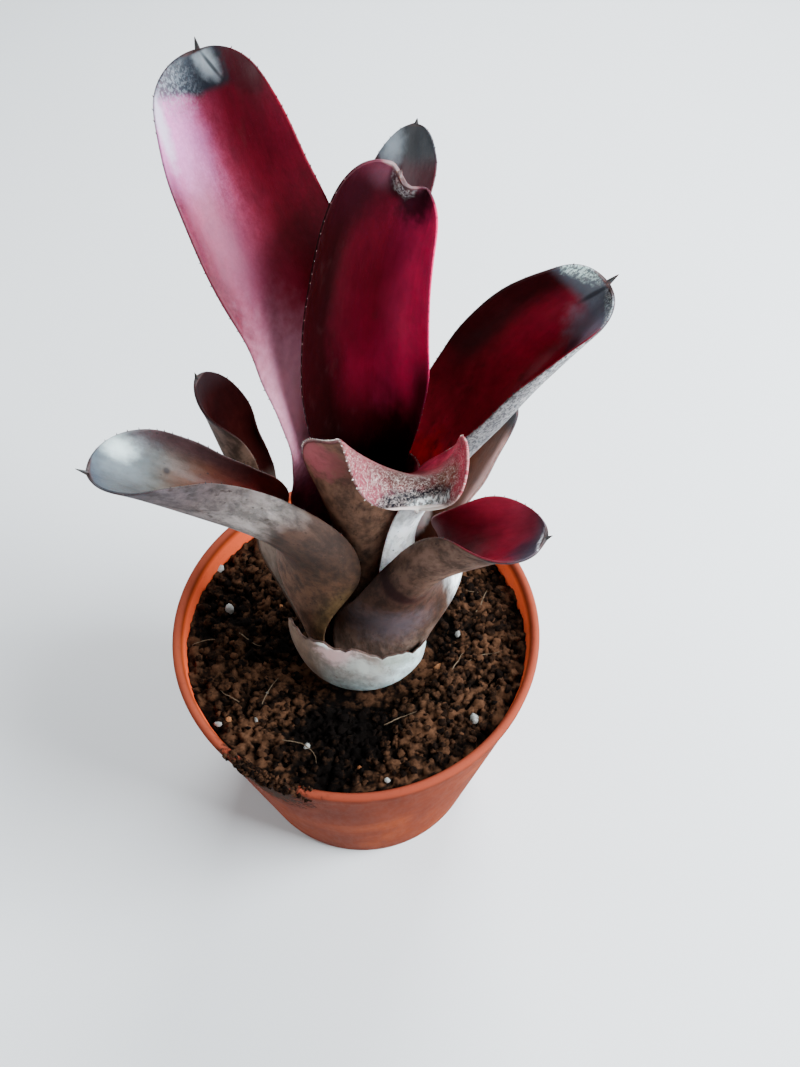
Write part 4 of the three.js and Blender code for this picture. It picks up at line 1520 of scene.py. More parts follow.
@dataclass(frozen=True)
class Fibres:
    """Thin root fibres and bark threads that begin at some distance from the pot's axis, on the soil."""

    count: int = 16
    girth: float = 0.16
    length: tuple[float, float] = (6.0, 15.0)
    lying: tuple[float, float] = (27.0, 42.0)
    steps: int = 14
    sides: int = 4
    finish: GrainFinish = ROOT_FIBRE
    seed: int = 11

    def courses(self, soil: Soil) -> tuple[Array, Array]:
        """Slightly curved paths over the crumbs, kept within the pot."""
        rng = np.random.default_rng(self.seed)
        angle, out = rng.uniform(0, 2 * math.pi, self.count), rng.uniform(*self.lying, self.count)
        heading = rng.uniform(0, 2 * math.pi, self.count)[:, None]
        heading = heading + np.cumsum(rng.normal(0, 0.16, (self.count, self.steps)), 1)
        step = rng.uniform(*self.length, self.count)[:, None] / self.steps
        x = (out * np.cos(angle))[:, None] + np.cumsum(np.cos(heading) * step, 1)
        y = (out * np.sin(angle))[:, None] + np.cumsum(np.sin(heading) * step, 1)
        limit = np.minimum((soil.pot.inner(soil.level) - 1.5) / np.maximum(np.hypot(x, y), 1.0), 1)
        x, y = x * limit, y * limit
        z = soil.plain(x, y) + 1.0 + 0.35 * np.sin(np.linspace(0, 5, self.steps))
        return np.stack([x, y, z], -1), np.stack([-np.sin(heading), np.cos(heading), 0 * heading], -1)

    def build(self, soil: Soil) -> bpy.types.Object:
        """Builds the fibres as one piece: four-sided tubes that taper along their courses.

        Args:
            soil: The soil that they lie on.

        Returns:
            The piece.
        """
        centre, side = (part[:, :, None] for part in self.courses(soil))
        turn = full_turn(self.sides)[:, None]
        taper = self.girth * (1 - 0.6 * np.linspace(0, 1, self.steps) ** 2)[None, :, None, None]
        tube = centre + taper * (np.cos(turn) * side - np.sin(turn) * np.array([0, 0, 1.0]))
        per = self.steps * self.sides
        shift = (np.arange(self.count) * per)[:, None, None]
        start, end = np.arange(self.sides)[None], np.arange(per - 1, per - 1 - self.sides, -1)[None]
        skin = Skin("soil_fibres")
        groups = ring_faces(self.steps, self.sides), start, end
        skin.add(tube, [group[None] + shift for group in groups], own_tone=0.5)
        piece = skin.make(Slot.SOIL)
        piece.data.materials.append(self.finish.material())
        return piece


def dress_stem(frame: dict) -> None:
    """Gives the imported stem, hidden in the leaf bases, its own pale fibrous look."""
    stem = frame["nodes"]["stem"]
    stem.data.materials.clear()
    stem.data.materials.append(STEM_TISSUE.material())


# ---- The leaves of this plant ----


# Near white: scurf brightened as painted light, and a painted pool of light on the right back leaf.
SCURF_AND_PAINTED_LIGHT_WHITE = (0.97, 0.98, 0.97)
FROM_THE_FOOT = (-0.5, -0.3)
TAUPE = (
    (0.0, (0.07, 0.037, 0.022)), (0.35, (0.06, 0.029, 0.017)), (0.65, (0.10, 0.054, 0.034)),
    (1.0, (0.07, 0.046, 0.042)),
)


def outer_face(**changes: object) -> FaceFinish:
    """The usual outer face: mottled taupe under thin silvery scurf, with a dark tip."""
    usual = FaceFinish(
        stops=TAUPE, tip=(0.03, 0.025, 0.035), tip_reach=(4.0, 12.0), silver=(0.17, 0.115, 0.085), scurf=0.25,
        tip_scurf=0.45, blotch=(0.016, 0.007, 0.0045), blotches=0.75, specks=0.6, mottle=0.5, rough=0.6,
    )
    return replace(usual, **changes)


def centre_leaf() -> Leaf:
    """The innermost, tallest middle leaf: crimson, with a crumpled, hooked tip."""
    inner = FaceFinish(
        stops=(
            # Near black low on the inner face: partly the leaf's own dark base, partly painted shade in the
            # cup.
            (0.0, (0.004, 0.001, 0.001)), (0.52, (0.005, 0.001, 0.001)), (0.6, (0.06, 0.003, 0.007)),
            (0.7, (0.3, 0.008, 0.034)), (0.84, (0.21, 0.006, 0.022)), (1.0, (0.12, 0.006, 0.018)),
        ),
        flanks=(
            Flank((0.2, 0.006, 0.03), Side.RIGHT, 0.86, 0.97, (0.5, 0.6)),
            # Painted shade: the left half goes near black where the right half shades it.
            Flank((0.006, 0.001, 0.001), Side.LEFT, -0.25, 0.55, (0.3, 0.4), strength=0.97),
            # Painted light: bright crimson on the right half, where light shines through the blade.
            Flank((0.9, 0.04, 0.18), Side.RIGHT, 0.05, 0.6, (0.58, 0.66), strength=0.85),
            Flank((0.02, 0.002, 0.003), Side.RIGHT, 0.55, 0.9, (0.4, 0.5), (0.68, 0.76), strength=0.85),
        ),
        tip=(0.1, 0.012, 0.026), tip_reach=(1.5, 6.0), silver=(0.5, 0.45, 0.47), tip_scurf=0.1, scurf=0.0,
        rough=0.34, mottle=0.08,
        patches=(
            # Painted shade: the dark patch at the top of the left half.
            Patch((0.016, 0.002, 0.004), (8.0, 6.0), (6.5, 5.0), 0.85, soft=0.9),
            Patch((0.07, 0.03, 0.042), (1.5, 2.5), (3.5, 2.0), 0.5, soft=0.9),
            Patch((0.02, 0.008, 0.012), (-5.5, 4.5), (4.2, 4.0), 0.9, turn=30),
            Patch(
                (0.85, 0.85, 0.86), (-1.6, 1.4), (2.0, 2.6), 0.95, turn=20, soft=0.5, ragged=0.5,
                flecked=True,
            ),
        ),
    )
    return Leaf(
        name="leaf_centre", azimuth=72, ring=0, length=138, width=(21, 32.5), lean=(-8, -3, 4, 10, 15, 46),
        turn=(8, 7, -21), roll=(0, 25, 30), wrap=(83, 82), channel=(60, 35, 61, 96), skew=(-3, -9, 3),
        sheath=62, tip=18, seed=2, hook=(5.0, 2.2, 2.4, -2.4), spine=0.8,
        finish=LeafFinish(
            inner=inner, outer=outer_face(), margin=(0.12, 0.02, 0.03), lip=0.1, spine=(0.25, 0.17, 0.17),
            glow=0.15, gloss=0.03, turned=1.0,
        ),
    )


def recurved_front_leaf() -> Leaf:
    """The front leaf whose hairy end folds outwards and down."""
    inner = FaceFinish(
        stops=(
            (0.0, (0.02, 0.004, 0.004)), (0.6, (0.08, 0.004, 0.006)), (0.82, (0.09, 0.01, 0.014)),
            (0.92, (0.15, 0.018, 0.024)), (1.0, (0.17, 0.024, 0.03)),
        ),
        flanks=(
            Flank((0.34, 0.016, 0.045), Side.LEFT, 0.3, 0.8, (0.6, 0.72), strength=0.85),
        ),
        tip=(0.08, 0.035, 0.03), tip_reach=(0.5, 3.0), silver=(0.85, 0.7, 0.64), scurf=0.0, tip_scurf=0.0,
        hairs=0.42, specks=0.3, mottle=0.4, rough=0.5, blotches=0.4,
        patches=(
            Patch((0.22, 0.04, 0.06), (-9.5, 3.4), (4.5, 3.6), 0.85, ragged=0.7),
            Patch((0.035, 0.014, 0.009), (-1.5, 5.2), (8.0, 2.4), 0.9, soft=0.7),
            Patch((0.14, 0.07, 0.04), (7.0, 4.5), (2.5, 2.0), 0.5, soft=0.8),
            Patch((0.006, 0.006, 0.009), (-0.5, 1.8), (7.5, 1.9), 0.98, turn=4, soft=0.3),
            Patch(
                (0.95, 1.0, 0.98), (2.6, 1.3), (3.4, 1.1), 0.9, turn=8, soft=0.4, ragged=0.95,
                flecked=True,
            ),
        ),
    )
    outer = outer_face(
        stops=(
            (0.0, (0.055, 0.03, 0.02)), (0.5, (0.1, 0.05, 0.031)), (0.8, (0.12, 0.055, 0.033)),
            (1.0, (0.12, 0.045, 0.032)),
        ),
        scurf=0.12, tip_scurf=0.1,
        patches=(
            Patch((0.42, 0.09, 0.11), (-15.5, 31.0), (5.0, 8.0), 0.9, ragged=0.9),
            Patch((0.085, 0.026, 0.019), (-10.0, 28.0), (7.0, 9.0), 0.7, soft=0.8, ragged=0.9),
        ),
    )
    return Leaf(
        name="leaf_front_recurved", azimuth=302, ring=1, length=117.5, width=(22.5, 31.5),
        lean=(-3, -6, 10, 11, 39, 38), turn=(-33, 8, -30), roll=(26, -29, -14), wrap=(106, 147),
        channel=(84, 78, 64, 76), skew=(-13, 49, 38), sheath=69, tip=9.5, curl=(97, 9.5), seed=3, spine=0.9,
        trim=(0.5, 0.6, 0.68, 0.74, 1.02), pitch=(2.0, 0.8), toothed_from=0.6,
        finish=LeafFinish(
            inner=inner, outer=outer, margin=(0.6, 0.45, 0.4), lip=0.3, spine=(0.75, 0.66, 0.6), gloss=0.08,
            turned=0.7,
        ),
    )


def back_left_leaf() -> Leaf:
    """The tall leaf behind on the left: crimson, a painted rosy sheen on its left flank, a dark tip."""
    inner = FaceFinish(
        stops=(
            (0.0, (0.02, 0.003, 0.003)), (0.3, (0.04, 0.003, 0.006)), (0.5, (0.1, 0.005, 0.012)),
            (0.7, (0.15, 0.002, 0.012)), (0.9, (0.13, 0.002, 0.011)), (1.0, (0.085, 0.003, 0.01)),
        ),
        flanks=(
            # Painted sheen: the rosy and lilac flanks on the left half stand for a window's reflection.
            Flank((0.28, 0.035, 0.08), Side.LEFT, -0.35, 0.35, (0.1, 0.25), strength=0.85),
            Flank((0.7, 0.25, 0.54), Side.LEFT, 0.0, 0.85, (0.8, 0.92), strength=0.72),
            Flank(
                (0.08, 0.004, 0.014), Side.LEFT, 0.62, 0.92, FROM_THE_FOOT,
                ends=(0.84, 0.92), strength=0.9,
            ),
            Flank((0.3, 0.005, 0.03), Side.RIGHT, 0.4, 0.9, (0.5, 0.62), (0.9, 0.96), strength=0.5),
        ),
        tip=(0.014, 0.016, 0.024), tip_reach=(6.6, 8.4), silver=(0.4, 0.45, 0.5), scurf=0.03,
        tip_scurf=0.24, rough=0.38, grain=0.35, mottle=0.14,
        patches=(
            Patch((0.085, 0.003, 0.01), (-9.5, 5.0), (5.2, 6.5), 0.95, soft=0.35),
            # Painted sheen: the pale pink and lilac patches follow that reflection down the left half.
            Patch((0.3, 0.09, 0.17), (7.2, 38.0), (4.0, 22.0), 0.5, turn=3, soft=0.9, ragged=0.5),
            Patch((0.34, 0.012, 0.035), (0.5, 51.0), (5.5, 13.0), 0.5, soft=0.95, ragged=0.4),
            Patch((0.85, 0.38, 0.52), (7.5, 70.0), (7.5, 16.0), 0.85, soft=0.95, ragged=0.4),
            Patch((0.74, 0.24, 0.6), (9.0, 15.0), (4.5, 6.0), 0.35, soft=0.9, ragged=0.4),
            # Painted light: a pale stripe by the left margin near the tip.
            Patch((0.55, 0.5, 0.62), (11.8, 9.0), (1.5, 8.0)),
            Patch((0.4, 0.44, 0.5), (7.5, 5.5), (4.5, 4.0), 0.4, soft=0.8, flecked=True),
            # Painted highlight: the silver blue glint at the tip.
            Patch((0.62, 0.7, 0.76), (-1.2, 2.6), (3.0, 1.6), 0.85, turn=112, soft=0.8, ragged=0.5),
            Patch((0.008, 0.008, 0.012), (-2.0, 3.6), (3.0, 0.35), turn=115, ragged=0.2),
        ),
    )
    return Leaf(
        name="leaf_back_left", azimuth=115, ring=2, length=164, width=(27.5, 29.5),
        lean=(0, 2, -1, 15, 34, 54), turn=(-27, 38, -8), roll=(-23, -22, -30), wrap=(88, 92),
        channel=(56, 44, 39, 66), skew=(-10, -23, 28), sheath=31, tip=24, seed=4, spine=2.6,
        finish=LeafFinish(inner=inner, outer=outer_face(), gloss=0.1, turned=1.0),
    )


def right_leaf() -> Leaf:
    """The leaf that reaches out to the right: crimson inside, silvery outside."""
    inner = FaceFinish(
        stops=(
            (0.0, (0.3, 0.004, 0.015)), (0.3, (0.9, 0.03, 0.08)), (0.58, (0.82, 0.035, 0.085)),
            (0.68, (0.36, 0.014, 0.036)), (0.84, (0.26, 0.003, 0.018)), (1.0, (0.12, 0.005, 0.015)),
        ),
        flanks=(
            # Painted cast shadow: the upper half goes near black from about two thirds of the blade up.
            Flank((0.007, 0.001, 0.001), Side.LEFT, -0.05, 0.68, (0.6, 0.8), strength=0.95),
        ),
        tip=(0.035, 0.033, 0.045), tip_reach=(4.6, 7.2), tip_slant=-0.15, silver=(0.5, 0.55, 0.56),
        scurf=0.0, blotches=0.35, mottle=0.14, specks=0.25, rough=0.36, blotch=(0.03, 0.004, 0.006),
        patches=(
            Patch((0.17, 0.17, 0.22), (-5.5, 7.5), (4.5, 4.5), turn=-15, soft=0.8, ragged=0.5),
            Patch((0.5, 0.62, 0.58), (5.6, 2.4), (4.2, 1.5), 0.95, turn=22, ragged=0.9, flecked=True),
            Patch((0.5, 0.56, 0.56), (-6.0, 2.2), (6.0, 1.2), 0.85, turn=-25, ragged=0.9, flecked=True),
            Patch((0.012, 0.012, 0.016), (-0.2, 3.0), (3.2, 0.5), 0.85, turn=80, ragged=0.3),
            Patch((0.03, 0.006, 0.012), (-6.6, 12.5), (1.5, 2.2), 0.7, soft=0.7, ragged=0.8),
        ),
    )
    outer = outer_face(
        stops=(
            # Near white low on the outer face: silvery scurf, brightened as painted light.
            (0.0, SCURF_AND_PAINTED_LIGHT_WHITE), (0.48, SCURF_AND_PAINTED_LIGHT_WHITE), (0.56, (0.25, 0.23, 0.23)), (0.8, (0.2, 0.19, 0.19)),
            (0.9, (0.48, 0.46, 0.46)),
        ),
        silver=(0.62, 0.63, 0.65), scurf=0.22, tip_scurf=0.4, blotch=(0.02, 0.015, 0.018), blotches=0.6,
        specks=0.9, mottle=0.35,
        patches=(
            Patch(
                (0.035, 0.032, 0.038), (-6.0, 32.0), (30.0, 28.0), 0.85, soft=0.3, ragged=0.3,
                flecked=True,
            ),
        ),
    )
    return Leaf(
        name="leaf_right", azimuth=-3, ring=3, length=134, width=(23.5, 32), lean=(11, -1, 11, 30, 33, 57),
        turn=(-5, 19, 24), roll=(0, -3, 39), wrap=(84, 106), channel=(88, 78, 86, 103), skew=(-8, -31, -17),
        sheath=29, tip=26, seed=5, spine=2.8,
        finish=LeafFinish(inner=inner, outer=outer, glow=0.15, gloss=0.08),
    )


def back_leaf() -> Leaf:
    """The leaf at the back, blue grey at its tip."""
    inner = FaceFinish(
        stops=(
            (0.0, (0.02, 0.004, 0.004)), (0.5, (0.06, 0.003, 0.006)), (0.8, (0.09, 0.006, 0.014)),
            (1.0, (0.07, 0.008, 0.016)),
        ),
        tip=(0.018, 0.02, 0.026), tip_reach=(6.0, 11.0), silver=(0.34, 0.4, 0.46), scurf=0.02,
        tip_scurf=0.12, rough=0.4,
        patches=(
            # Silvery scurf at the tip, brightened into a painted highlight.
            Patch((0.5, 0.58, 0.65), (5.6, 5.6), (2.6, 3.8), 0.9, soft=0.9, ragged=0.5),
            Patch((0.01, 0.01, 0.014), (-0.8, 3.4), (1.4, 4.5), soft=0.8, ragged=0.3),
            Patch((0.02, 0.02, 0.026), (-0.5, 0.4), (3.0, 1.2), ragged=0.3),
        ),
    )
    return Leaf(
        name="leaf_back", azimuth=84, ring=4, length=137, width=(24, 25.5), lean=(17, 18, 24, 32, 40, 41),
        turn=(4, -7, -10), roll=(3, -38, -37), wrap=(79, 84), channel=(60, 43, 68, 3), skew=(0, -11, 17),
        sheath=34, tip=24, seed=6, spine=1.3, finish=LeafFinish(inner=inner, outer=outer_face()),
    )


def right_back_leaf() -> Leaf:
    """The small brown leaf behind on the right."""
    inner = FaceFinish(
        stops=(
            (0.0, (0.035, 0.008, 0.0035)), (0.5, (0.08, 0.018, 0.007)), (0.8, (0.1, 0.027, 0.011)),
            (1.0, (0.06, 0.03, 0.02)),
        ),
        flanks=(
            Flank((0.55, 0.32, 0.29), Side.RIGHT, 0.35, 0.85, (0.35, 0.5), (0.9, 0.98)),
        ),
        tip=(0.02, 0.018, 0.022), tip_reach=(2.0, 6.0), scurf=0.02, tip_scurf=0.2, rough=0.45, mottle=0.2,
        # Painted light: a white patch on the inner face, where light falls between the front leaves.
        patches=(Patch(SCURF_AND_PAINTED_LIGHT_WHITE, (7.4, 44.5), (2.8, 5.5), strength=0.95, soft=0.4, ragged=0.3),),
    )
    outer = outer_face(
        stops=((0.0, (0.3, 0.2, 0.18)), (0.5, (0.3, 0.2, 0.18)), (1.0, (0.2, 0.14, 0.13))), scurf=0.3,
    )
    return Leaf(
        name="leaf_right_back", azimuth=33, ring=5, length=84.2, width=(17.5, 17.4),
        lean=(20.4, 19.8, 22.1, 26.5, 31.6, 38.8), turn=(2.1, -5.3, 1), roll=(6.8, -11.1, -19.4),
        wrap=(61.5, 59.4), channel=(57.5, 52.1, 36.8, 40.9), skew=(1.4, 1.8, -2.5), sheath=35.5, tip=18,
        seed=10, spine=1.5, finish=LeafFinish(inner=inner, outer=outer, glow=0.2),
    )


def level_left_leaf() -> Leaf:
    """The silvery leaf held level on the left."""
    inner = FaceFinish(
        stops=(
            (0.0, (0.02, 0.005, 0.004)), (0.5, (0.05, 0.007, 0.004)), (0.68, (0.22, 0.015, 0.005)),
            (0.77, (0.14, 0.055, 0.032)), (0.86, (0.08, 0.07, 0.057)), (1.0, (0.06, 0.07, 0.086)),
        ),
        flanks=(
            Flank((0.07, 0.03, 0.035), Side.RIGHT, 0.6, 0.92, (0.6, 0.7), (0.9, 0.95), strength=0.85),
        ),
        tip=(0.03, 0.037, 0.055), tip_reach=(0.5, 4.5), silver=(0.26, 0.28, 0.3), scurf=0.1,
        blotch=(0.04, 0.03, 0.03), blotches=0.4, specks=0.8, mottle=0.2, rough=0.3,
        patches=(
            # Painted highlight: a soft bluish glint near the tip, with a bright core.
            Patch((0.16, 0.19, 0.21), (-8.0, 7.0), (6.0, 6.5), 0.7, soft=0.9),
            Patch((0.8, 0.95, 0.93), (-10.0, 6.4), (2.3, 3.2), 0.85, soft=0.9, ragged=0.5),
            Patch((0.03, 0.022, 0.022), (-8.4, 17.7), (0.8, 0.8), 0.9, ragged=0.4),
        ),
    )
    outer = outer_face(
        stops=(
            (0.0, (0.1, 0.056, 0.038)), (0.4, (0.088, 0.04, 0.021)), (0.53, (0.03, 0.012, 0.006)),
            # The pale band at 0.69 to 0.75 is silvery scurf, lightened as a painted sheen where the fold faces
            # up.
            (0.62, (0.045, 0.021, 0.013)), (0.69, (0.28, 0.24, 0.22)), (0.75, (0.2, 0.165, 0.155)),
            (0.84, (0.09, 0.065, 0.065)), (1.0, (0.08, 0.07, 0.085)),
        ),
        flanks=(
            Flank((0.14, 0.085, 0.03), Side.LEFT, 0.2, 0.8, (0.16, 0.24), (0.34, 0.42), strength=0.6),
        ),
        scurf=0.2, silver=(0.24, 0.19, 0.17), tip_scurf=0.4,
    )
    return Leaf(
        name="leaf_left_level", azimuth=207, ring=6, length=114, width=(39, 34),
        lean=(8, -4, 13, 46, 53, 50), turn=(29, -20, -21), roll=(42, 32, 23), wrap=(48, 0),
        channel=(84, 73, 115, 46), skew=(-9, 7, -11), sheath=40, tip=17, seed=8, spine=2.8,
        finish=LeafFinish(inner=inner, outer=outer, gloss=0.16),
    )


def small_left_leaf() -> Leaf:
    """The small dark leaf on the left."""
    inner = FaceFinish(
        stops=(
            (0.0, (0.16, 0.115, 0.09)), (0.52, (0.14, 0.1, 0.08)), (0.63, (0.01, 0.0008, 0.0008)),
            (0.8, (0.014, 0.0008, 0.001)), (1.0, (0.016, 0.002, 0.002)),
        ),
        tip=(0.016, 0.006, 0.007), tip_reach=(2.0, 8.0), silver=(0.1, 0.06, 0.06), scurf=0.0,
        tip_scurf=0.08, rough=0.6, mottle=0.2,
        patches=(Patch((0.05, 0.007, 0.006), (-7.5, 25.0), (4.0, 9.0), soft=0.9, ragged=0.4),),
    )
    outer = outer_face(scurf=0.2)
    return Leaf(
        name="leaf_left_small", azimuth=145, ring=7, length=92, width=(18, 23.5),
        lean=(28, 30, 30, 24, 18, 18), turn=(1, -5, -17), roll=(-11, 29, 41), wrap=(37, 17),
        channel=(68, 18, 125, 28), skew=(-2, 15, 4), sheath=35, tip=18, seed=9, spine=1.5,
        finish=LeafFinish(inner=inner, outer=outer, gloss=0.03),
    )


def right_front_leaf() -> Leaf:
    """The short front leaf on the right, with a red end and a painted highlight along its lower edge."""
    inner = FaceFinish(
        stops=(
            (0.0, (0.02, 0.002, 0.002)), (0.5, (0.03, 0.0015, 0.003)), (0.72, (0.08, 0.003, 0.008)),
            (0.88, (0.15, 0.006, 0.016)), (1.0, (0.08, 0.012, 0.022)),
        ),
        tip=(0.028, 0.02, 0.03), tip_reach=(1.2, 5.0), tip_slant=-1.2, silver=(0.25, 0.23, 0.27), scurf=0.0,
        rough=0.36, mottle=0.16,
        patches=(
            Patch((0.02, 0.016, 0.026), (-3.0, 4.5), (4.5, 3.2), soft=0.7),
            Patch((0.8, 0.8, 0.84), (-0.5, 0.7), (4.5, 0.7), 0.7, soft=0.5, ragged=0.9, flecked=True),
        ),
    )
    outer = outer_face(
        stops=(
            (0.0, (0.13, 0.09, 0.072)), (0.3, (0.085, 0.052, 0.04)), (0.38, (0.034, 0.015, 0.009)),
            (0.56, (0.04, 0.016, 0.011)), (0.66, (0.1, 0.052, 0.036)), (0.78, (0.16, 0.09, 0.066)),
            (1.0, (0.07, 0.04, 0.03)),
        ),
        flanks=(
            # Painted highlight: white along the lower part of the margin, where the window light catches it.
            Flank((0.95, 1.0, 1.0), Side.LEFT, 0.32, 0.66, (-0.3, -0.1), (0.5, 0.62), strength=0.96),
            Flank((0.14, 0.14, 0.14), Side.LEFT, 0.0, 0.7, (0.46, 0.6), (0.65, 0.8)),
        ),
        patches=(
            Patch((0.016, 0.004, 0.004), (-9.5, 41.8), (8.0, 2.0), 0.9, turn=25, soft=0.5, ragged=0.3),
            Patch((0.15, 0.12, 0.14), (-9.0, 58.0), (9.0, 6.0), 0.45, soft=0.8),
        ),
    )
    return Leaf(
        name="leaf_right_front", azimuth=-33.2, ring=8, length=98.4, width=(27, 31.7),
        lean=(8.8, -1.3, 10.3, 28.8, 47.9, 51.1), turn=(-25, -2.4, 34.4), roll=(-46.3, -1.4, -33.1),
        wrap=(23.1, 96.5), channel=(34.2, 47.6, 136.6, 16), skew=(33.4, -35.6, 14.3), sheath=39.4, tip=17,
        seed=7, spine=1.6, finish=LeafFinish(inner=inner, outer=outer, gloss=0.06),
    )


def old_front_sheath() -> Leaf:
    """The outermost old leaf base at the front: a torn pale cup without a blade."""
    inner = FaceFinish(
        stops=((0.0, (0.09, 0.05, 0.035)), (1.0, (0.07, 0.04, 0.03))), tip=(0.05, 0.03, 0.025),
        tip_reach=(0.0, 1.0), scurf=0.1, tip_scurf=0.1, rough=0.6,
    )
    outer = FaceFinish(
        stops=(
            # Cool blue white low on the cup: painted highlight.
            (0.0, (0.44, 0.66, 0.7)), (0.4, (0.47, 0.6, 0.6)), (0.6, (0.36, 0.35, 0.32)),
            (0.85, (0.24, 0.18, 0.155)), (1.0, (0.13, 0.09, 0.07)),
        ),
        flanks=(
            Flank((0.15, 0.095, 0.062), Side.RIGHT, 0.2, 0.6, FROM_THE_FOOT, (1.2, 1.4), strength=0.92),
            # Painted highlight: cool white coming in from the left margin.
            Flank((0.6, 0.74, 0.74), Side.LEFT, 0.2, 0.6, FROM_THE_FOOT, (1.2, 1.4)),
        ),
        tip=(0.2, 0.15, 0.125), tip_reach=(-1.0, 1.2), silver=(0.6, 0.6, 0.58), scurf=0.15, tip_scurf=0.1,
        blotch=(0.16, 0.1, 0.075), blotches=0.6, specks=0.4, mottle=0.25, rough=0.5,
        patches=(
            Patch((0.82, 0.55, 0.53), (-4.2, 6.6), (4.6, 4.2), 0.9, ragged=0.9),
            Patch((0.56, 0.58, 0.53), (2.4, 11.0), (4.6, 4.0), 0.85, turn=20, ragged=0.9),
            # Painted highlight: a small white glint on the torn edge.
            Patch((0.95, 0.98, 0.96), (-7.6, 4.4), (1.6, 0.9), 0.9, soft=0.4, ragged=0.5),
            Patch((0.02, 0.012, 0.01), (-7.0, 2.2), (2.4, 1.3), 0.95, soft=0.4, ragged=0.5),
            Patch((0.22, 0.24, 0.18), (12.0, 6.0), (5.0, 5.0), 0.6, soft=0.8, ragged=0.7),
        ),
    )
    return Leaf(
        name="sheath_old_front", azimuth=265, ring=9, length=44, width=(40, 40), lean=(9, 0, -3),
        turn=(0, 0, 0), roll=(0, 0, 0), wrap=(62, 62), channel=(65, 65), skew=(0, 0, 0), sheath=70, tip=8,
        torn=0.1, slant=0.16, seed=11, spine=0.0,
        finish=LeafFinish(inner=inner, outer=outer, margin=(0.24, 0.17, 0.14)),
    )


ROSETTE = (
    centre_leaf, recurved_front_leaf, back_left_leaf, right_leaf, back_leaf, right_back_leaf, level_left_leaf,
    small_left_leaf, right_front_leaf, old_front_sheath,
)


# ---- Studio ----


@dataclass(frozen=True)
class SoftLight:
    """A plain square studio light aimed at the plant.

    Attributes:
        name: Its name.
        place: Where it stands, in mm.
        size: Side of the square, in mm.
        power: Watts.
        colour: Its colour.
        target: What it is aimed at, in mm.
    """

    name: str
    place: Colour
    size: float
    power: float
    colour: Colour
    target: Colour = (0.0, 0.0, 120.0)

    def build(self) -> None:
        """Places the light."""
        lamp = bpy.data.lights.new(self.name, "AREA")
        lamp.energy, lamp.size, lamp.color = self.power, self.size * METRE, self.colour
        holder = bpy.data.objects.new(self.name, lamp)
        holder.location = Vector(self.place) * METRE
        aim = Vector(self.target) * METRE - holder.location
        holder.rotation_euler = aim.to_track_quat("-Z", "Y").to_euler()
        bpy.context.scene.collection.objects.link(holder)


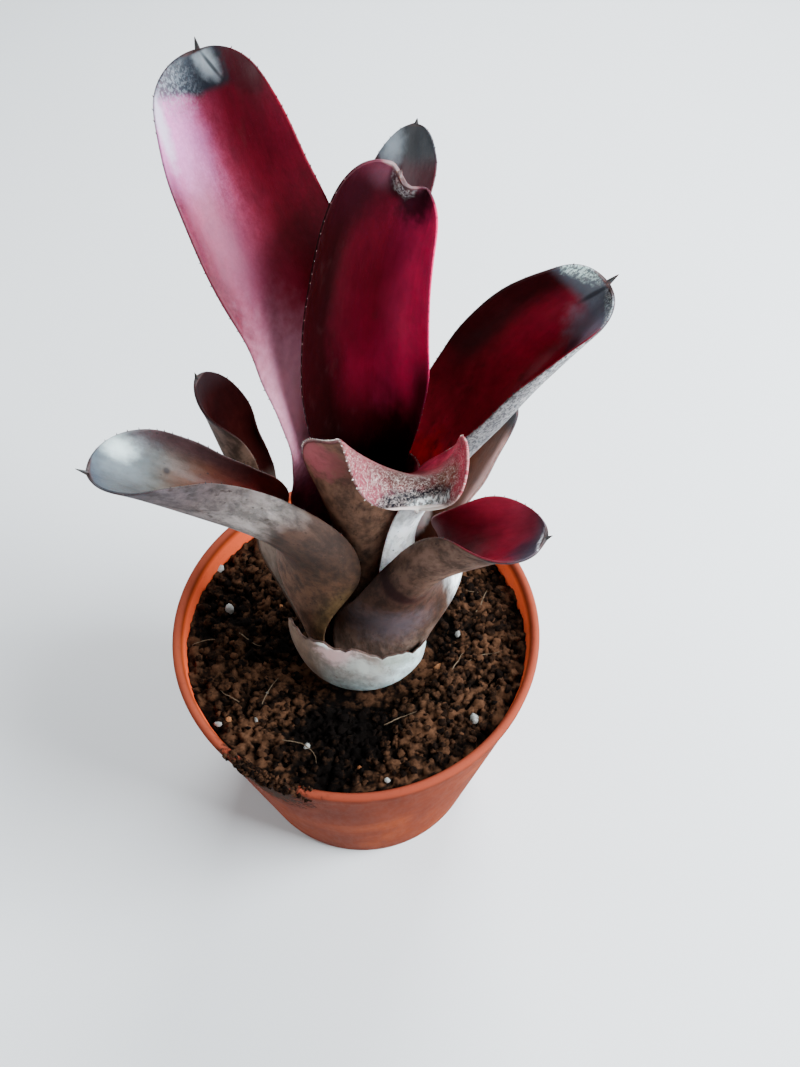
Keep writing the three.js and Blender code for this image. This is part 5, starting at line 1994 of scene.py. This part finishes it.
@dataclass(frozen=True)
class Studio:
    """Camera, pale floor and soft lights. The camera's focal length is in heights of the view."""

    eye: Colour = (12.5, -142.66, 337.61)
    pitch: float = 55.16
    focal: float = 1000 / 1067
    sensor: float = 36.0
    floor: Colour = (0.82, 0.82, 0.82)
    floor_half: float = 3000.0
    surroundings: Colour = (0.95, 0.97, 1.0)
    surroundings_strength: float = 0.12
    lights: tuple[SoftLight, ...] = (
        SoftLight("window_right", (640, -130, 570), 480, 25.0, (0.86, 0.94, 1.0)),
        SoftLight("window_right_low", (640, 90, 240), 260, 2.5, (0.86, 0.94, 1.0)),
        SoftLight("window_back", (200, 640, 620), 420, 11.0, (0.88, 0.95, 1.0)),
        SoftLight("window_left", (-620, 120, 330), 300, 2.4, (0.9, 0.95, 1.0)),
        SoftLight("front_fill", (60, -620, 500), 600, 0.8, (1.0, 0.97, 0.93)),
    )

    def build(self) -> None:
        """Sets up the camera, the lights, the pale surroundings and the floor."""
        self.place_camera()
        for light in self.lights:
            light.build()
        world = bpy.data.worlds.new("surroundings")
        world.use_nodes = True
        sky = world.node_tree.nodes["Background"]
        sky.inputs["Color"].default_value = (*self.surroundings, 1.0)
        sky.inputs["Strength"].default_value = self.surroundings_strength
        bpy.context.scene.world = world
        self.lay_floor()

    def place_camera(self) -> None:
        """Places the camera."""
        lens = bpy.data.cameras.new("camera")
        lens.lens, lens.sensor_width = self.focal * self.sensor, self.sensor
        lens.clip_start, lens.clip_end = 0.01, 20
        camera = bpy.data.objects.new("camera", lens)
        camera.location = Vector(self.eye) * METRE
        camera.rotation_euler = (math.radians(90 - self.pitch), 0, 0)
        bpy.context.scene.collection.objects.link(camera)
        bpy.context.scene.camera = camera

    def lay_floor(self) -> None:
        """Lays a plain pale floor under the pot."""
        half = self.floor_half * METRE
        mesh = bpy.data.meshes.new("floor")
        corners = [(-half, -half, 0), (half, -half, 0), (half, half, 0), (-half, half, 0)]
        mesh.from_pydata(corners, [], [(0, 1, 2, 3)])
        ground = bpy.data.objects.new("floor", mesh)
        bpy.context.scene.collection.objects.link(ground)
        brush = Brush("pale_floor")
        darker = tuple(0.97 * part for part in self.floor)
        colour = brush.ramp(brush.cloud(brush.place(), 0.004, 2.0), ((0.3, darker), (0.7, self.floor)))
        ground.data.materials.append(brush.finish(colour, 0.85, None))


def loose_pieces() -> tuple[Scatter | Fibres, ...]:
    """What lies loose on the soil and on the rim."""
    return (
        Scatter("soil_crumbs", 2100, (0.35, 1.5), PEAT_CRUMB, bumps=0.5, seed=3),
        RimScatter("rim_crumbs", 190, (0.3, 0.95), PEAT_CRUMB, bumps=0.5, seed=8),
        Scatter(
            "perlite_grains", 5, (0.5, 0.9), PERLITE, squash=0.85, bumps=0.22, seed=21,
            places=(
                (-43.0, 23.6, 1.5), (-38.0, 8.4, 1.5), (-37.2, -29.3, 1.1), (29.4, -0.5, 1.2),
                (32.8, -28.1, 1.4),
                (-12.5, -36.2, 1.1),
            ),
        ),
        Scatter(
            "bark_chips", 10, (0.7, 1.4), BARK, squash=0.55, bumps=0.3, seed=33,
            places=((-34.6, -28.1, 1.3), (23.5, -10.5, 1.4)),
        ),
        Fibres(),
    )


def main() -> None:
    """Builds the pieces in order and reports each one's number of faces."""
    logging.basicConfig(level=logging.INFO, format="%(name)s: %(message)s")
    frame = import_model()
    Studio().build()
    pot = Pot()
    soil = Soil(pot)
    pieces = [pot.build(), soil.build()]
    pieces.extend(loose.build(soil) for loose in loose_pieces())
    dress_stem(frame)
    pieces.extend(leaf().build() for leaf in ROSETTE)
    for piece in pieces:
        LOG.info("%s: %d faces", piece.name, len(piece.data.polygons))


if __name__ == "__main__":
    main()
